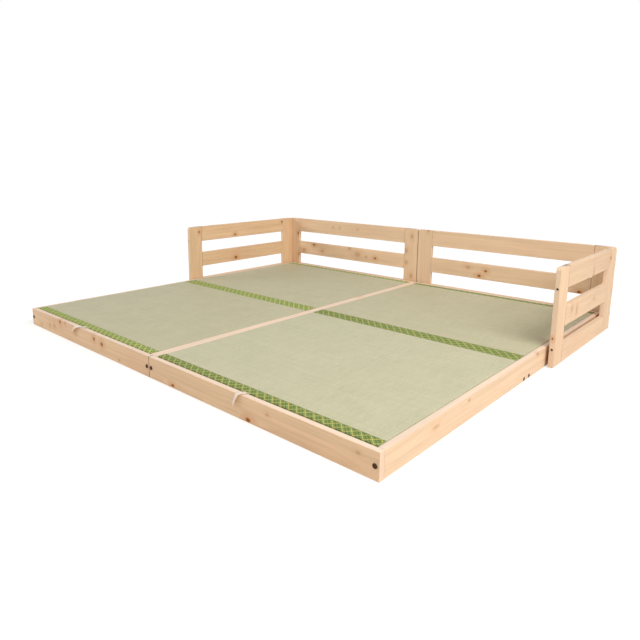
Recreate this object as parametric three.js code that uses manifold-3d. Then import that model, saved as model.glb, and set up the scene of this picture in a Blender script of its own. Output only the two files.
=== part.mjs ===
// Linked pair of low wooden beds: two floor-standing board frames with a slatted base, two
// rush-covered boards in each, and four rail guards round the head half.
// Millimetres, +Z up, +X to the right seen from the foot, +Y towards the head.
import * as THREE from 'three';
import { mergeVertices } from 'three/addons/utils/BufferGeometryUtils.js';
import Module from 'manifold-3d';

const wasm = await Module();
wasm.setup();

// Clearances
const fitGap = 0.3;
const linkGap = 0.4;
const cutOverrun = 1;

// Bed frames
const bedWidth = 1000;
const bedLength = 1800;
const frameHeight = 80;
const frameThickness = 20;
const frameEase = 2;

// Rush boards
const deckRise = 1;
const rushThickness = 3;
const rushEdgeThickness = 2;
const coreThickness = 16;
const borderWidth = 35;
const clothThickness = 0.8;
const matSideGap = 2;
const matFrontGap = 3;
const matMiddleGap = 2;
const matRearGap = 2;

// Pull tapes: a webbing strip from the front gap over the front board
const tapeWidth = 15;
const tapeThickness = 1;
const tapeTail = 14;
const tapeLift = 1.8;
const tapeBend = 3;
const tapeReach = 14;
const tapeDrop = 40;
const tapeCurveSteps = 6;
const leftTape = { rootX: -497, leanShare: 1.25 };
const rightTape = { rootX: 506, leanShare: 0.68 };
const tapeCurlShares = [[0.42, 0.4], [0.62, 0.75]];
const tapeBendShares = { over: 0.5, down: 1.2 };

// Slatted base
const slatCount = 10;
const slatWidth = 90;
const slatThickness = 18;
const slatEase = 1;
const slatEndGap = 1;
const strapWidth = 30;
const strapThickness = 1.5;
const strapSpacing = 560;
const glueDepth = 0.5;
const ledgerWidth = 20;
const ledgerHeight = 22;
const ledgerEndGap = 40;
const crossWidth = 90;
const crossThickness = 18;
const crossCentreY = 917.5;

// Guards
const guardThickness = 20;
const guardGap = 12;
const guardBase = 4;
const guardEase = 2;
const guardEndGap = 0.4;
const postWidth = 90;
const postCornerRadius = 14;
const postCornerSteps = 5;
const bottomRailHeight = 76;
const lowerOpening = 70;
const middleRailHeight = 84;
const upperOpening = 68;
const topRailHeight = 88;
const leftGuardLength = 876;
const rightGuardLength = 721;

// Guard spacers
const spacerWidth = 32;
const spacerHeight = 68;
const spacerInset = 72;

// Fasteners
const roundSides = 12;
const boltRadius = 3;
const boltHeadRadius = 7.5;
const boltHeadHeight = 2.5;
const boltSocketRadius = 2.3;
const boltSocketDepth = 1.8;
const boreClearance = 0.4;
const frameBoltLength = 62;
const frameBoltInset = 13.5;
const frameBoltHeight = 40;
const barrelRadius = 5;
const barrelLength = 12;
const barrelDepth = 50;
const linkBoltHeight = 11;
const linkBoltInset = 300;
const linkNutHeight = 5;
const linkBoltSpare = 3;
const guardBoltHeight = 12;
const guardBoltBite = 14;
const screwRadius = 2.5;
const screwHeadRadius = 4.5;
const screwSink = 9;
const screwBite = 38;
const bottomScrewInset = 6;
const topScrewInset = 6;
const crossScrewSpacing = 45;
const crossScrewRadius = 2;
const crossScrewHeadRadius = 4;
const crossScrewSink = 3.6;
const crossScrewBite = 32;

// Levels of the deck, from its top down
const rushTop = frameHeight + deckRise;
const borderStep = clothThickness + fitGap;
const coreTop = rushTop - rushThickness - fitGap;
const coreBottom = coreTop - coreThickness;
const slatBottom = coreBottom - fitGap - slatThickness;
const bearerTop = slatBottom - fitGap;

// Spans inside a frame
const innerWidth = bedWidth - 2 * frameThickness;
const innerLength = bedLength - 2 * frameThickness;
const matWidth = innerWidth - 2 * matSideGap;
const matLength = (innerLength - matFrontGap - matMiddleGap - matRearGap) / 2;
const frontMatStart = frameThickness + matFrontGap;
const rearMatStart = frontMatStart + matLength + matMiddleGap;
const bedOffset = (bedWidth + linkGap) / 2;
const pairReach = bedOffset + bedWidth / 2;
const guardReach = pairReach + guardGap + guardThickness;
const guardRear = bedLength + guardGap + guardThickness;
const sideGuardRear = guardRear - guardThickness - guardEndGap;
const postHeight = bottomRailHeight + lowerOpening + middleRailHeight + upperOpening + topRailHeight;

const woodLook = { color: 0xdeb88e, roughness: 0.62, metalness: 0 };
const guardLook = { color: 0xe6c39a, roughness: 0.6, metalness: 0 };
const slatLook = { color: 0xd2ab7c, roughness: 0.7, metalness: 0 };
const coreLook = { color: 0xc9a26f, roughness: 0.8, metalness: 0 };
const rushLook = { color: 0xcdc39a, roughness: 0.75, metalness: 0 };
const clothLook = { color: 0x6f9a55, roughness: 0.85, metalness: 0 };
const tapeLook = { color: 0xf0e6da, roughness: 0.9, metalness: 0 };
const bronzeLook = { color: 0x4a3a2c, roughness: 0.45, metalness: 0.85 };

const xAxis = new THREE.Vector3(1, 0, 0);
const yAxis = new THREE.Vector3(0, 1, 0);
const zAxis = new THREE.Vector3(0, 0, 1);
const FRONT = new THREE.Vector3(0, -1, 0);
const REAR = new THREE.Vector3(0, 1, 0);
const LEFT = new THREE.Vector3(-1, 0, 0);

// Exact quarter-turn permutations: local Z becomes X, or local Z becomes Y
const zToX = new THREE.Matrix4().set(0, 0, 1, 0, 1, 0, 0, 0, 0, 1, 0, 0, 0, 0, 0, 1);
const zToY = new THREE.Matrix4().set(0, 1, 0, 0, 0, 0, 1, 0, 1, 0, 0, 0, 0, 0, 0, 1);
const standUp = new THREE.Matrix4().set(1, 0, 0, 0, 0, 0, -1, 0, 0, 1, 0, 0, 0, 0, 0, 1);

function toSolid(geometry) {
  const bare = geometry.clone();
  bare.deleteAttribute('normal');
  bare.deleteAttribute('uv');
  const merged = mergeVertices(bare);
  return new wasm.Manifold(new wasm.Mesh({
    numProp: 3,
    vertProperties: new Float32Array(merged.attributes.position.array),
    triVerts: new Uint32Array(merged.index.array),
  }));
}

function toGeometry(solid) {
  const mesh = solid.getMesh();
  const geometry = new THREE.BufferGeometry();
  geometry.setAttribute('position', new THREE.BufferAttribute(new Float32Array(mesh.vertProperties), 3));
  geometry.setIndex(new THREE.BufferAttribute(new Uint32Array(mesh.triVerts), 1));
  return geometry;
}

function drill(geometry, bores) {
  let solid = toSolid(geometry);
  for (const bore of bores) {
    solid = solid.subtract(toSolid(bore));
  }
  return toGeometry(solid);
}

// A round bore that starts cutOverrun outside the point `from` and runs `depth` along `direction`
function boreFrom(from, direction, radius, depth) {
  const geometry = new THREE.CylinderGeometry(radius, radius, depth + cutOverrun, roundSides);
  geometry.translate(0, (depth - cutOverrun) / 2, 0);
  geometry.applyQuaternion(new THREE.Quaternion().setFromUnitVectors(yAxis, direction));
  geometry.translate(from.x, from.y, from.z);
  return geometry;
}

// Section of a board with eased long edges, centred on its own middle
function easedSection(width, height, ease) {
  const right = width / 2;
  const top = height / 2;
  const points = [
    [right - ease, -top], [right, ease - top], [right, top - ease], [right - ease, top],
    [ease - right, top], [-right, top - ease], [-right, ease - top], [ease - right, -top],
  ];
  return new THREE.Shape(points.map(([x, y]) => new THREE.Vector2(x, y)));
}

function boardAlongX(length, height, thickness, ease, endEase = 0) {
  const geometry = new THREE.ExtrudeGeometry(easedSection(thickness, height, ease), {
    depth: length - 2 * endEase,
    bevelEnabled: endEase > 0,
    bevelThickness: endEase,
    bevelSize: endEase,
    bevelOffset: -endEase,
    bevelSegments: 1,
  });
  geometry.translate(0, 0, endEase - length / 2);
  return geometry.applyMatrix4(zToX);
}

function boardAlongY(length, height, thickness, ease) {
  const geometry = new THREE.ExtrudeGeometry(easedSection(height, thickness, ease), {
    depth: length,
    bevelEnabled: false,
  });
  geometry.translate(0, 0, -length / 2);
  return geometry.applyMatrix4(zToY);
}

// Head towards +Z on the seat at the origin, shank towards -Z, with a driver socket
function boltGeometry(shankLength) {
  const profile = [
    [0, -shankLength], [boltRadius, -shankLength], [boltRadius, 0], [boltHeadRadius, 0],
    [boltHeadRadius, boltHeadHeight], [boltSocketRadius, boltHeadHeight],
    [boltSocketRadius, boltHeadHeight - boltSocketDepth], [0, boltHeadHeight - boltSocketDepth],
  ];
  const geometry = new THREE.LatheGeometry(profile.map(([r, y]) => new THREE.Vector2(r, y)), roundSides);
  return geometry.applyMatrix4(zToX);
}

function join(geometries) {
  return toGeometry(geometries.map(toSolid).reduce((whole, next) => whole.add(next)));
}

function addPiece(parent, name, geometry, look, x = 0, y = 0, z = 0) {
  const mesh = new THREE.Mesh(geometry, new THREE.MeshStandardMaterial(look));
  mesh.name = name;
  mesh.position.set(x, y, z);
  parent.add(mesh);
  return mesh;
}

const boltBore = boltRadius + boreClearance;

function addBolt(parent, name, length, x, y, z, headDirection) {
  const geometry = boltGeometry(length);
  geometry.applyQuaternion(new THREE.Quaternion().setFromUnitVectors(zAxis, headDirection));
  const seat = headDirection.clone().multiplyScalar(fitGap);
  addPiece(parent, name, geometry, bronzeLook, x + seat.x, y + seat.y, z + seat.z);
}

// Cuts in the front and rear boards, whose local frame is centred on the board
function endBoardBores(outward, guardBoltXs) {
  const middle = frameBoltHeight - frameHeight / 2;
  const face = outward * frameThickness / 2;
  const inward = yAxis.clone().multiplyScalar(-outward);
  const bores = [-1, 1].map((end) => {
    const x = end * (bedWidth / 2 - frameBoltInset);
    return boreFrom(new THREE.Vector3(x, face, middle), inward, boltBore, frameThickness + cutOverrun);
  });
  for (const x of guardBoltXs) {
    const from = new THREE.Vector3(x, face, guardBoltHeight - frameHeight / 2);
    bores.push(boreFrom(from, inward, boltBore, frameThickness + cutOverrun));
  }
  return bores;
}

// Guard bolt places along a guard, measured from its two ends
function guardBoltStations(length) {
  return [spacerInset, length - spacerInset];
}

function frameBoardsOf(parent, side, label) {
  const centreX = side * bedOffset;
  const rearLength = guardReach - linkGap / 2;
  const rearGuardCentre = side * (linkGap / 2 + rearLength / 2);
  const rearBoltXs = guardBoltStations(rearLength).map((s) => rearGuardCentre + s - rearLength / 2 - centreX);
  const blank = boardAlongX(bedWidth, frameHeight, frameThickness, frameEase, frameEase / 2);
  const frontY = frameThickness / 2;
  const rearY = bedLength - frameThickness / 2;
  addPiece(parent, `${label}_front_board`, drill(blank, endBoardBores(-1, [])),
    woodLook, centreX, frontY, frameHeight / 2);
  addPiece(parent, `${label}_rear_board`, drill(blank, endBoardBores(1, rearBoltXs)),
    woodLook, centreX, rearY, frameHeight / 2);
  for (const [role, end] of [['outer', side], ['inner', -side]]) {
    const x = centreX + end * (bedWidth / 2 - frameBoltInset);
    addBolt(parent, `${label}_front_${role}_bolt`, frameBoltLength, x, 0, frameBoltHeight, FRONT);
    addBolt(parent, `${label}_rear_${role}_bolt`, frameBoltLength, x, bedLength, frameBoltHeight, REAR);
  }
}

// Cuts in a side board; `out` points to the face that looks away from its own bed
function sideBoardBores(out, length, isOuter, guardBoltYs) {
  const centreY = bedLength / 2;
  const middleZ = frameHeight / 2;
  const outward = xAxis.clone().multiplyScalar(out);
  const inward = outward.clone().negate();
  const boltX = out * (frameThickness / 2 - frameBoltInset);
  const innerFace = -out * frameThickness / 2;
  const outerFace = out * frameThickness / 2;
  const bores = [];
  for (const end of [-1, 1]) {
    const mouth = new THREE.Vector3(boltX, end * length / 2, frameBoltHeight - middleZ);
    const depth = frameBoltLength - frameThickness + cutOverrun;
    bores.push(boreFrom(mouth, yAxis.clone().multiplyScalar(-end), boltBore, depth));
    const nutFrom = new THREE.Vector3(innerFace, end * (bedLength / 2 - barrelDepth), mouth.z);
    const nutDepth = frameThickness - frameBoltInset + barrelLength / 2 + boreClearance;
    bores.push(boreFrom(nutFrom, outward, barrelRadius + boreClearance, nutDepth));
  }
  const through = frameThickness + cutOverrun;
  const boltYs = isOuter ? guardBoltYs : [linkBoltInset, bedLength - linkBoltInset];
  const boltZ = isOuter ? guardBoltHeight : linkBoltHeight;
  for (const y of boltYs) {
    const from = new THREE.Vector3(innerFace, y - centreY, boltZ - middleZ);
    bores.push(boreFrom(from, outward, boltBore, through));
  }
  for (const step of [-1, 1]) {
    const y = crossCentreY + step * crossScrewSpacing / 2 - centreY;
    const from = new THREE.Vector3(outerFace, y, crossThickness / 2 - middleZ);
    bores.push(boreFrom(from, inward, crossScrewHeadRadius + boreClearance, crossScrewSink));
    bores.push(boreFrom(from, inward, crossScrewRadius + boreClearance, through));
  }
  return bores;
}

// Side board with its ledger strip glued along the inner face
function sideBoardGeometry(out, isOuter, guardBoltYs) {
  const length = innerLength - 2 * fitGap;
  const board = boardAlongY(length, frameHeight, frameThickness, frameEase);
  const ledger = boardAlongY(length - 2 * ledgerEndGap, ledgerHeight, ledgerWidth + glueDepth, slatEase);
  const ledgerX = -out * (frameThickness + ledgerWidth - glueDepth) / 2;
  ledger.translate(ledgerX, 0, bearerTop - (ledgerHeight + frameHeight) / 2);
  return drill(join([board, ledger]), sideBoardBores(out, length, isOuter, guardBoltYs));
}

function sideBoardsOf(parent, side, label, guardBoltYs) {
  const reach = (bedWidth - frameThickness) / 2;
  for (const [role, out] of [['outer', side], ['inner', -side]]) {
    addPiece(parent, `${label}_${role}_side_board`, sideBoardGeometry(out, role === 'outer', guardBoltYs),
      woodLook, side * bedOffset + out * reach, bedLength / 2, frameHeight / 2);
  }
}

function crossBoardOf(parent, side, label) {
  const length = innerWidth - 2 * fitGap;
  const pilots = [];
  for (const end of [-1, 1]) {
    for (const step of [-1, 1]) {
      const from = new THREE.Vector3(end * length / 2, step * crossScrewSpacing / 2, 0);
      const inward = xAxis.clone().multiplyScalar(-end);
      pilots.push(boreFrom(from, inward, crossScrewRadius + boreClearance, crossScrewBite + cutOverrun));
    }
  }
  const board = boardAlongX(length, crossThickness, crossWidth, slatEase);
  addPiece(parent, `${label}_cross_board`, drill(board, pilots), slatLook,
    side * bedOffset, crossCentreY, crossThickness / 2);
}

// Slats held at their pitch by two straps stapled along their undersides
function slatPanelOf(parent, side, label) {
  const slat = boardAlongX(innerWidth - 2 * slatEndGap, slatThickness, slatWidth, slatEase);
  const pitch = innerLength / slatCount;
  const pieces = [];
  for (let i = 0; i < slatCount; i += 1) {
    pieces.push(slat.clone().translate(0, (i + 0.5) * pitch - innerLength / 2, 0));
  }
  const strapLength = innerLength - pitch;
  const strapZ = -(slatThickness + strapThickness - glueDepth) / 2;
  for (const x of [-strapSpacing / 2, strapSpacing / 2]) {
    const strap = new THREE.BoxGeometry(strapWidth, strapLength, strapThickness + glueDepth);
    pieces.push(strap.translate(x, 0, strapZ));
  }
  addPiece(parent, `${label}_slat_panel`, join(pieces), slatLook,
    side * bedOffset, bedLength / 2, slatBottom + slatThickness / 2);
}

// Cover of woven rush: a top with a lip down each end of the core and a step for each border
function rushCoverGeometry(length) {
  const reach = matWidth / 2;
  const lip = reach - rushEdgeThickness;
  const height = rushTop - coreBottom;
  const underside = height - rushThickness;
  const points = [
    [-reach, 0], [-lip, 0], [-lip, underside], [lip, underside], [lip, 0], [reach, 0],
    [reach, height], [-reach, height],
  ];
  const shape = new THREE.Shape(points.map(([x, y]) => new THREE.Vector2(x, y)));
  const geometry = new THREE.ExtrudeGeometry(shape, { depth: length, bevelEnabled: false });
  geometry.translate(0, 0, -length / 2);
  geometry.applyMatrix4(standUp);
  const stepLength = borderWidth + fitGap - borderStep + cutOverrun;
  const steps = [-1, 1].map((end) => {
    const step = new THREE.BoxGeometry(matWidth + 2 * cutOverrun, stepLength, borderStep + cutOverrun);
    const y = end * (length / 2 + cutOverrun - stepLength / 2);
    return step.translate(0, y, height + (cutOverrun - borderStep) / 2);
  });
  return drill(geometry, steps);
}

// Border cloth: lies in the step along one edge and folds down the edge; `out` is that edge's side
function borderGeometry(out) {
  const face = matLength / 2;
  const drop = rushTop - coreBottom;
  const points = [
    [face, 0], [face, drop], [face - borderWidth, drop],
    [face - borderWidth, drop - clothThickness],
    [face - clothThickness, drop - clothThickness], [face - clothThickness, 0],
  ];
  const shape = new THREE.Shape(points.map(([y, z]) => new THREE.Vector2(out * y, z)));
  const geometry = new THREE.ExtrudeGeometry(shape, { depth: matWidth, bevelEnabled: false });
  geometry.translate(0, 0, -matWidth / 2);
  return geometry.applyMatrix4(zToX);
}

function rushBoardOf(parent, side, label, place, startY) {
  const centreX = side * bedOffset;
  const centreY = startY + matLength / 2;
  const coreWidth = matWidth - 2 * (rushEdgeThickness + fitGap);
  const coreLength = matLength - 2 * (clothThickness + fitGap);
  addPiece(parent, `${label}_${place}_mat_core`,
    boardAlongY(coreLength, coreThickness, coreWidth, slatEase),
    coreLook, centreX, centreY, coreBottom + coreThickness / 2);
  addPiece(parent, `${label}_${place}_mat_cover`, rushCoverGeometry(coreLength), rushLook,
    centreX, centreY, coreBottom);
  addPiece(parent, `${label}_${place}_mat_front_border`, borderGeometry(-1), clothLook,
    centreX, centreY, coreBottom);
  addPiece(parent, `${label}_${place}_mat_rear_border`, borderGeometry(1), clothLook,
    centreX, centreY, coreBottom);
}

// Side profile of the pull tape: up out of the gap, over the board's top edge and down in a curl
function tapeOutline() {
  const rootY = frontMatStart - fitGap - tapeThickness / 2;
  const overZ = frameHeight + tapeLift;
  const path = new THREE.Path();
  path.moveTo(rootY, overZ - tapeTail);
  path.lineTo(rootY, overZ - tapeBend);
  path.quadraticCurveTo(rootY, overZ, rootY - tapeBend, overZ);
  path.lineTo(tapeBend, overZ);
  path.quadraticCurveTo(-tapeBend * tapeBendShares.over, overZ,
    -tapeBend, overZ - tapeBend * tapeBendShares.down);
  const [first, second] = tapeCurlShares.map(([out, down]) => [-tapeReach * out, overZ - tapeDrop * down]);
  path.bezierCurveTo(...first, ...second, -tapeReach, overZ - tapeDrop);
  const centre = path.getPoints(tapeCurveSteps);
  const left = [];
  const right = [];
  centre.forEach((point, i) => {
    const before = centre[Math.max(i - 1, 0)];
    const after = centre[Math.min(i + 1, centre.length - 1)];
    const along = after.clone().sub(before).normalize();
    const across = new THREE.Vector2(-along.y, along.x).multiplyScalar(tapeThickness / 2);
    left.push(point.clone().add(across));
    right.push(point.clone().sub(across));
  });
  return { shape: new THREE.Shape([...left, ...right.reverse()]), rootY, overZ };
}

function tapeGeometry(leanShare) {
  const { shape, rootY, overZ } = tapeOutline();
  const geometry = new THREE.ExtrudeGeometry(shape, { depth: tapeWidth, bevelEnabled: false });
  geometry.translate(0, 0, -tapeWidth / 2);
  geometry.applyMatrix4(zToX);
  const position = geometry.attributes.position;
  for (let i = 0; i < position.count; i += 1) {
    const y = position.getY(i);
    const hanging = y < 0 ? Math.max(0, overZ - position.getZ(i)) : 0;
    const run = Math.max(0, rootY - y) + hanging;
    position.setX(i, position.getX(i) - leanShare * run);
  }
  return geometry;
}

// A guard in its own frame: along +X from 0, outer face at y = 0, inner face towards -Y, base at z = 0
function postGeometry(isFirst) {
  const roundX = isFirst ? postCornerRadius : postWidth - postCornerRadius;
  const roundZ = postHeight - postCornerRadius;
  const shape = new THREE.Shape();
  shape.moveTo(0, 0);
  shape.lineTo(postWidth, 0);
  if (isFirst) {
    shape.lineTo(postWidth, postHeight);
    shape.absarc(roundX, roundZ, postCornerRadius, Math.PI / 2, Math.PI, false);
  } else {
    shape.absarc(roundX, roundZ, postCornerRadius, 0, Math.PI / 2, false);
    shape.lineTo(0, postHeight);
  }
  const geometry = new THREE.ExtrudeGeometry(shape, {
    depth: guardThickness - 2 * guardEase,
    curveSegments: postCornerSteps,
    bevelThickness: guardEase,
    bevelSize: guardEase,
    bevelOffset: -guardEase,
    bevelSegments: 1,
  });
  geometry.translate(0, 0, guardEase);
  return geometry.applyMatrix4(standUp);
}

// Spacer block glued on a post's inner face, which keeps the guard off the frame
function spacerGeometry(middleX) {
  const depth = guardGap - fitGap + glueDepth;
  const block = boardAlongX(spacerWidth, spacerHeight, depth, glueDepth);
  return block.translate(middleX, glueDepth - guardThickness - depth / 2, spacerHeight / 2);
}

const screwHeights = [bottomRailHeight - bottomScrewInset, postHeight - topRailHeight + topScrewInset];

function postBores(isFirst, boltX) {
  const midY = -guardThickness / 2;
  const outerX = isFirst ? 0 : postWidth;
  const inward = xAxis.clone().multiplyScalar(isFirst ? 1 : -1);
  const boltFrom = new THREE.Vector3(boltX, -guardThickness - guardGap, guardBoltHeight - guardBase);
  const bores = [boreFrom(boltFrom, yAxis, boltBore, guardGap + guardBoltBite + cutOverrun)];
  for (const z of screwHeights) {
    const from = new THREE.Vector3(outerX, midY, z);
    bores.push(boreFrom(from, inward, screwHeadRadius + boreClearance, screwSink));
    bores.push(boreFrom(from, inward, screwRadius + boreClearance, postWidth + cutOverrun));
  }
  return bores;
}

function railBores(length, z) {
  return [-1, 1].map((end) => {
    const from = new THREE.Vector3(end * length / 2, 0, z);
    const inward = xAxis.clone().multiplyScalar(-end);
    return boreFrom(from, inward, screwRadius + boreClearance, screwBite + cutOverrun);
  });
}

function addGuard(parent, name, length, postNames, position, turn) {
  const group = new THREE.Group();
  group.position.copy(position);
  group.rotation.z = turn;
  parent.add(group);

  const stations = guardBoltStations(length);
  const postStarts = [0, length - postWidth];
  postNames.forEach((postName, i) => {
    const isFirst = i === 0;
    const boltX = stations[i] - postStarts[i];
    const blank = join([postGeometry(isFirst), spacerGeometry(boltX)]);
    addPiece(group, `${name}_${postName}`, drill(blank, postBores(isFirst, boltX)), guardLook, postStarts[i]);
  });

  const railLength = length - 2 * (postWidth + fitGap);
  const rails = [
    ['bottom_rail', bottomRailHeight, bottomRailHeight / 2, screwHeights[0]],
    ['middle_rail', middleRailHeight, bottomRailHeight + lowerOpening + middleRailHeight / 2, null],
    ['top_rail', topRailHeight, postHeight - topRailHeight / 2, screwHeights[1]],
  ];
  for (const [railName, height, middleZ, screwZ] of rails) {
    const blank = boardAlongX(railLength, height, guardThickness, guardEase);
    const rail = screwZ === null ? blank : drill(blank, railBores(railLength, screwZ - middleZ));
    addPiece(group, `${name}_${railName}`, rail, guardLook, length / 2, -guardThickness / 2, middleZ);
  }
}

function addGuards(parent) {
  const rearLength = guardReach - linkGap / 2;
  addGuard(parent, 'left_guard', leftGuardLength, ['front_post', 'rear_post'],
    new THREE.Vector3(-guardReach, sideGuardRear - leftGuardLength, guardBase), Math.PI / 2);
  addGuard(parent, 'right_guard', rightGuardLength, ['rear_post', 'front_post'],
    new THREE.Vector3(guardReach, sideGuardRear, guardBase), -Math.PI / 2);
  addGuard(parent, 'rear_left_guard', rearLength, ['outer_post', 'inner_post'],
    new THREE.Vector3(-guardReach, guardRear, guardBase), 0);
  addGuard(parent, 'rear_right_guard', rearLength, ['inner_post', 'outer_post'],
    new THREE.Vector3(linkGap / 2, guardRear, guardBase), 0);
}

// Bolts that hold the two inner side boards together
function addLinkBolts(parent) {
  const seat = linkGap / 2 + frameThickness;
  const length = 2 * seat + linkNutHeight + linkBoltSpare;
  addBolt(parent, 'front_link_bolt', length, -seat, linkBoltInset, linkBoltHeight, LEFT);
  addBolt(parent, 'rear_link_bolt', length, -seat, bedLength - linkBoltInset, linkBoltHeight, LEFT);
}

function addBed(parent, side, label, guardLength, tape) {
  const guardStart = sideGuardRear - guardLength;
  const guardBoltYs = guardBoltStations(guardLength).map((station) => guardStart + station);
  frameBoardsOf(parent, side, label);
  sideBoardsOf(parent, side, label, guardBoltYs);
  crossBoardOf(parent, side, label);
  slatPanelOf(parent, side, label);
  rushBoardOf(parent, side, label, 'front', frontMatStart);
  rushBoardOf(parent, side, label, 'rear', rearMatStart);
  addPiece(parent, `${label}_pull_tape`, tapeGeometry(tape.leanShare), tapeLook, tape.rootX);
}

const bedPair = new THREE.Group();
bedPair.name = 'linked_slatted_beds';
addBed(bedPair, -1, 'left', leftGuardLength, leftTape);
addBed(bedPair, 1, 'right', rightGuardLength, rightTape);
addGuards(bedPair);
addLinkBolts(bedPair);

// The origin is the middle of the footprint, on the floor
const reach = new THREE.Box3().setFromObject(bedPair, true);
bedPair.position.y = -(reach.min.y + reach.max.y) / 2;

export default bedPair;
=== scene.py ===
"""Looks of a linked pair of low slatted beds: pine boards, rush boards with lattice borders, and
four rail guards. Metres, +Z up, the foot towards -Y, the origin in the middle of the footprint."""

import math
import random

import bmesh
import bpy
from mathutils import Matrix, Vector


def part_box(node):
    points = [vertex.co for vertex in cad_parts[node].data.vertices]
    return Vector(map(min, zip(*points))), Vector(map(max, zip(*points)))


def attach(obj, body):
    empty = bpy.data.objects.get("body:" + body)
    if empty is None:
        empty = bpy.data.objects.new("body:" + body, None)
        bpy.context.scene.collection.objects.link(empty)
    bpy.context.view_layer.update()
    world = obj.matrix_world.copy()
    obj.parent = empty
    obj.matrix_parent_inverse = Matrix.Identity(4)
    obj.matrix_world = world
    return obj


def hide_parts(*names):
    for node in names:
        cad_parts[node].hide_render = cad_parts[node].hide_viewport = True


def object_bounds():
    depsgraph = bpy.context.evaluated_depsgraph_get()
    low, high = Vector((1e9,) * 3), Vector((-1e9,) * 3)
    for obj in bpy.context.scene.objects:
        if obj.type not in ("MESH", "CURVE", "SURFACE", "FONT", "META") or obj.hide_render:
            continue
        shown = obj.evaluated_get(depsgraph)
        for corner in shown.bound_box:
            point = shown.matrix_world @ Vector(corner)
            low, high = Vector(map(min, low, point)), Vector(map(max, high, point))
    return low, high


bl_info = {
    "name": "Linked slatted beds",
    "version": (1, 0, 0),
    "blender": (4, 5, 0),
    "location": "3D View > Sidebar > Slatted Beds",
    "description": "Dresses the frame of two linked low beds with pine, woven rush, cloth and bronze",
    "category": "Object",
}

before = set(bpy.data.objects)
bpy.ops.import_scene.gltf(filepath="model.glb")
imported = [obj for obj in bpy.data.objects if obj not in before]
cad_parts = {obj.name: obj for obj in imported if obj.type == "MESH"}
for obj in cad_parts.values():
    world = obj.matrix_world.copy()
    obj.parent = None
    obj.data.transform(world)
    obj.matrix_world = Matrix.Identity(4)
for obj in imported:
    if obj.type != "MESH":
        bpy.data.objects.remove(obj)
CAD_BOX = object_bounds()

# Directions along X of the beds, and along Y of their ends
SIDES = {"left": -1, "right": 1}
ENDS = {"front": -1, "rear": 1}
X_AXIS = Vector((1, 0, 0))
Y_AXIS = Vector((0, 1, 0))
Z_AXIS = Vector((0, 0, 1))

# Boards: edges, and the painted shade at the seams between them, with how dark each kind is
BOARD_THICKNESS = 0.020
BOARD_EASE = 0.002
BOARD_END_EASE = 0.0012
EASE_STEPS = 3
SEAM_STRIP = 0.0012
SEAM_REACH = 0.0017
POST_SEAM_REACH = 0.0024
RIGHT_RAIL_SEAM = 0.16
RAIL_SEAM = 0.40
POST_SEAM = 0.72

# Fits, how close counts as the same place, and when a face counts as square to an axis
FIT_GAP = 0.0003
BORE_CLEARANCE = 0.0004
OVERRUN = 0.001
CLOSE = 1e-6
NEAR = 1e-5
ALIGNED = 0.9

# Slats and their straps
SLAT_COUNT = 10
SLAT_WIDTH = 0.090
SLAT_THICKNESS = 0.018
SLAT_EASE = 0.001
STRAP_WIDTH = 0.030
STRAP_THICKNESS = 0.0015
STRAP_SPACING = 0.560
STRAP_COLOUR = (0.66, 0.60, 0.50)
STRAP_TWILL = 0.0016

# Rush covers, cloth borders and pull tapes
RUSH_THICKNESS = 0.0030
RUSH_EDGE = 0.0020
RUSH_ROUND = 0.0018
SIDE_ROLL = 0.006
SIDE_FOOT = 0.005
BORDER_WIDTH = 0.035
BORDER_STEP = 0.0011
BORDER_REACH = 0.0342
BORDER_BEND = 0.0012
STEP_RUN = 0.0004
CLOTH_THICKNESS = 0.0008
THREAD_PITCH = 0.0009
TAPE_WIDTH = 0.015
TAPE_THICKNESS = 0.001
TAPE_TWILL = 0.0011
TAPE_STEPS = 6

# Guards
POST_WIDTH = 0.090
POST_THICKNESS = 0.020
POST_CORNER = 0.014
POST_CORNER_STEPS = 8
SPACER_WIDTH = 0.032
SPACER_HEIGHT = 0.068
SPACER_INSET = 0.072
SPACER_EASE = 0.0006
SPACER_BORE_DEPTH = 0.014
GUARD_BASE = 0.004
GUARD_BOLT_Z = 0.012
GUARD_BOLT_LENGTH = 0.045

# Fasteners. A recess's arm and width are shares of its screw's head radius
LINK_BOLTS = ("front_link_bolt", "rear_link_bolt")
BOLT_RADIUS = 0.003
BOLT_REACH = 0.043
BOLT_HEAD_RADIUS = 0.0075
BOLT_HEAD_HEIGHT = 0.0025
BOLT_SOCKET = 0.0023
BOLT_SOCKET_DEPTH = 0.0018
BARREL_RADIUS = 0.005
BARREL_LENGTH = 0.012
BARREL_DEPTH = 0.050
BARREL_THREAD_EASE = 0.0002
NUT_CHAMFER = 0.0005
SLOT_REACH = Vector((0.0009, 0.006, 0.0006))
NUT_RADIUS = 0.0063
NUT_THICKNESS = 0.005
NUT_THREAD_EASE = 0.0001
THREAD_REACH = 0.008
SCREW_HEIGHTS = (0.074, 0.308)
SCREW_RADIUS = 0.0025
SCREW_HEAD_RADIUS = 0.0045
SCREW_SINK = 0.009
SCREW_RISE = 0.003
SCREW_BITE = 0.038
SCREW_TIP = 0.002
SCREW_TAPER = 0.008
RECESS_DEPTH = 0.0014
RECESS_ARM = 0.62
RECESS_WIDTH = 0.13
CROSS_SCREW_RADIUS = 0.002
CROSS_HEAD_RADIUS = 0.004
CROSS_SCREW_SINK = 0.0036
CROSS_HEAD_DEPTH = 0.0016
CROSS_SCREW_LENGTH = 0.050
CROSS_PILOT_DEPTH = 0.033
CROSS_SCREW_SPACING = 0.045
# Radius of the painted shade round each cross screw's recess
CROSS_SHADE_RADIUS = 0.0076
CRISP_ANGLE = 40
SCREW_CRISP_ANGLE = 35
ROUND_SIDES = 32


# Properties

def colour_property(name, description, default):
    return bpy.props.FloatVectorProperty(
        name=name, description=description, default=default, size=3, min=0, max=1, subtype="COLOR")


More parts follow.
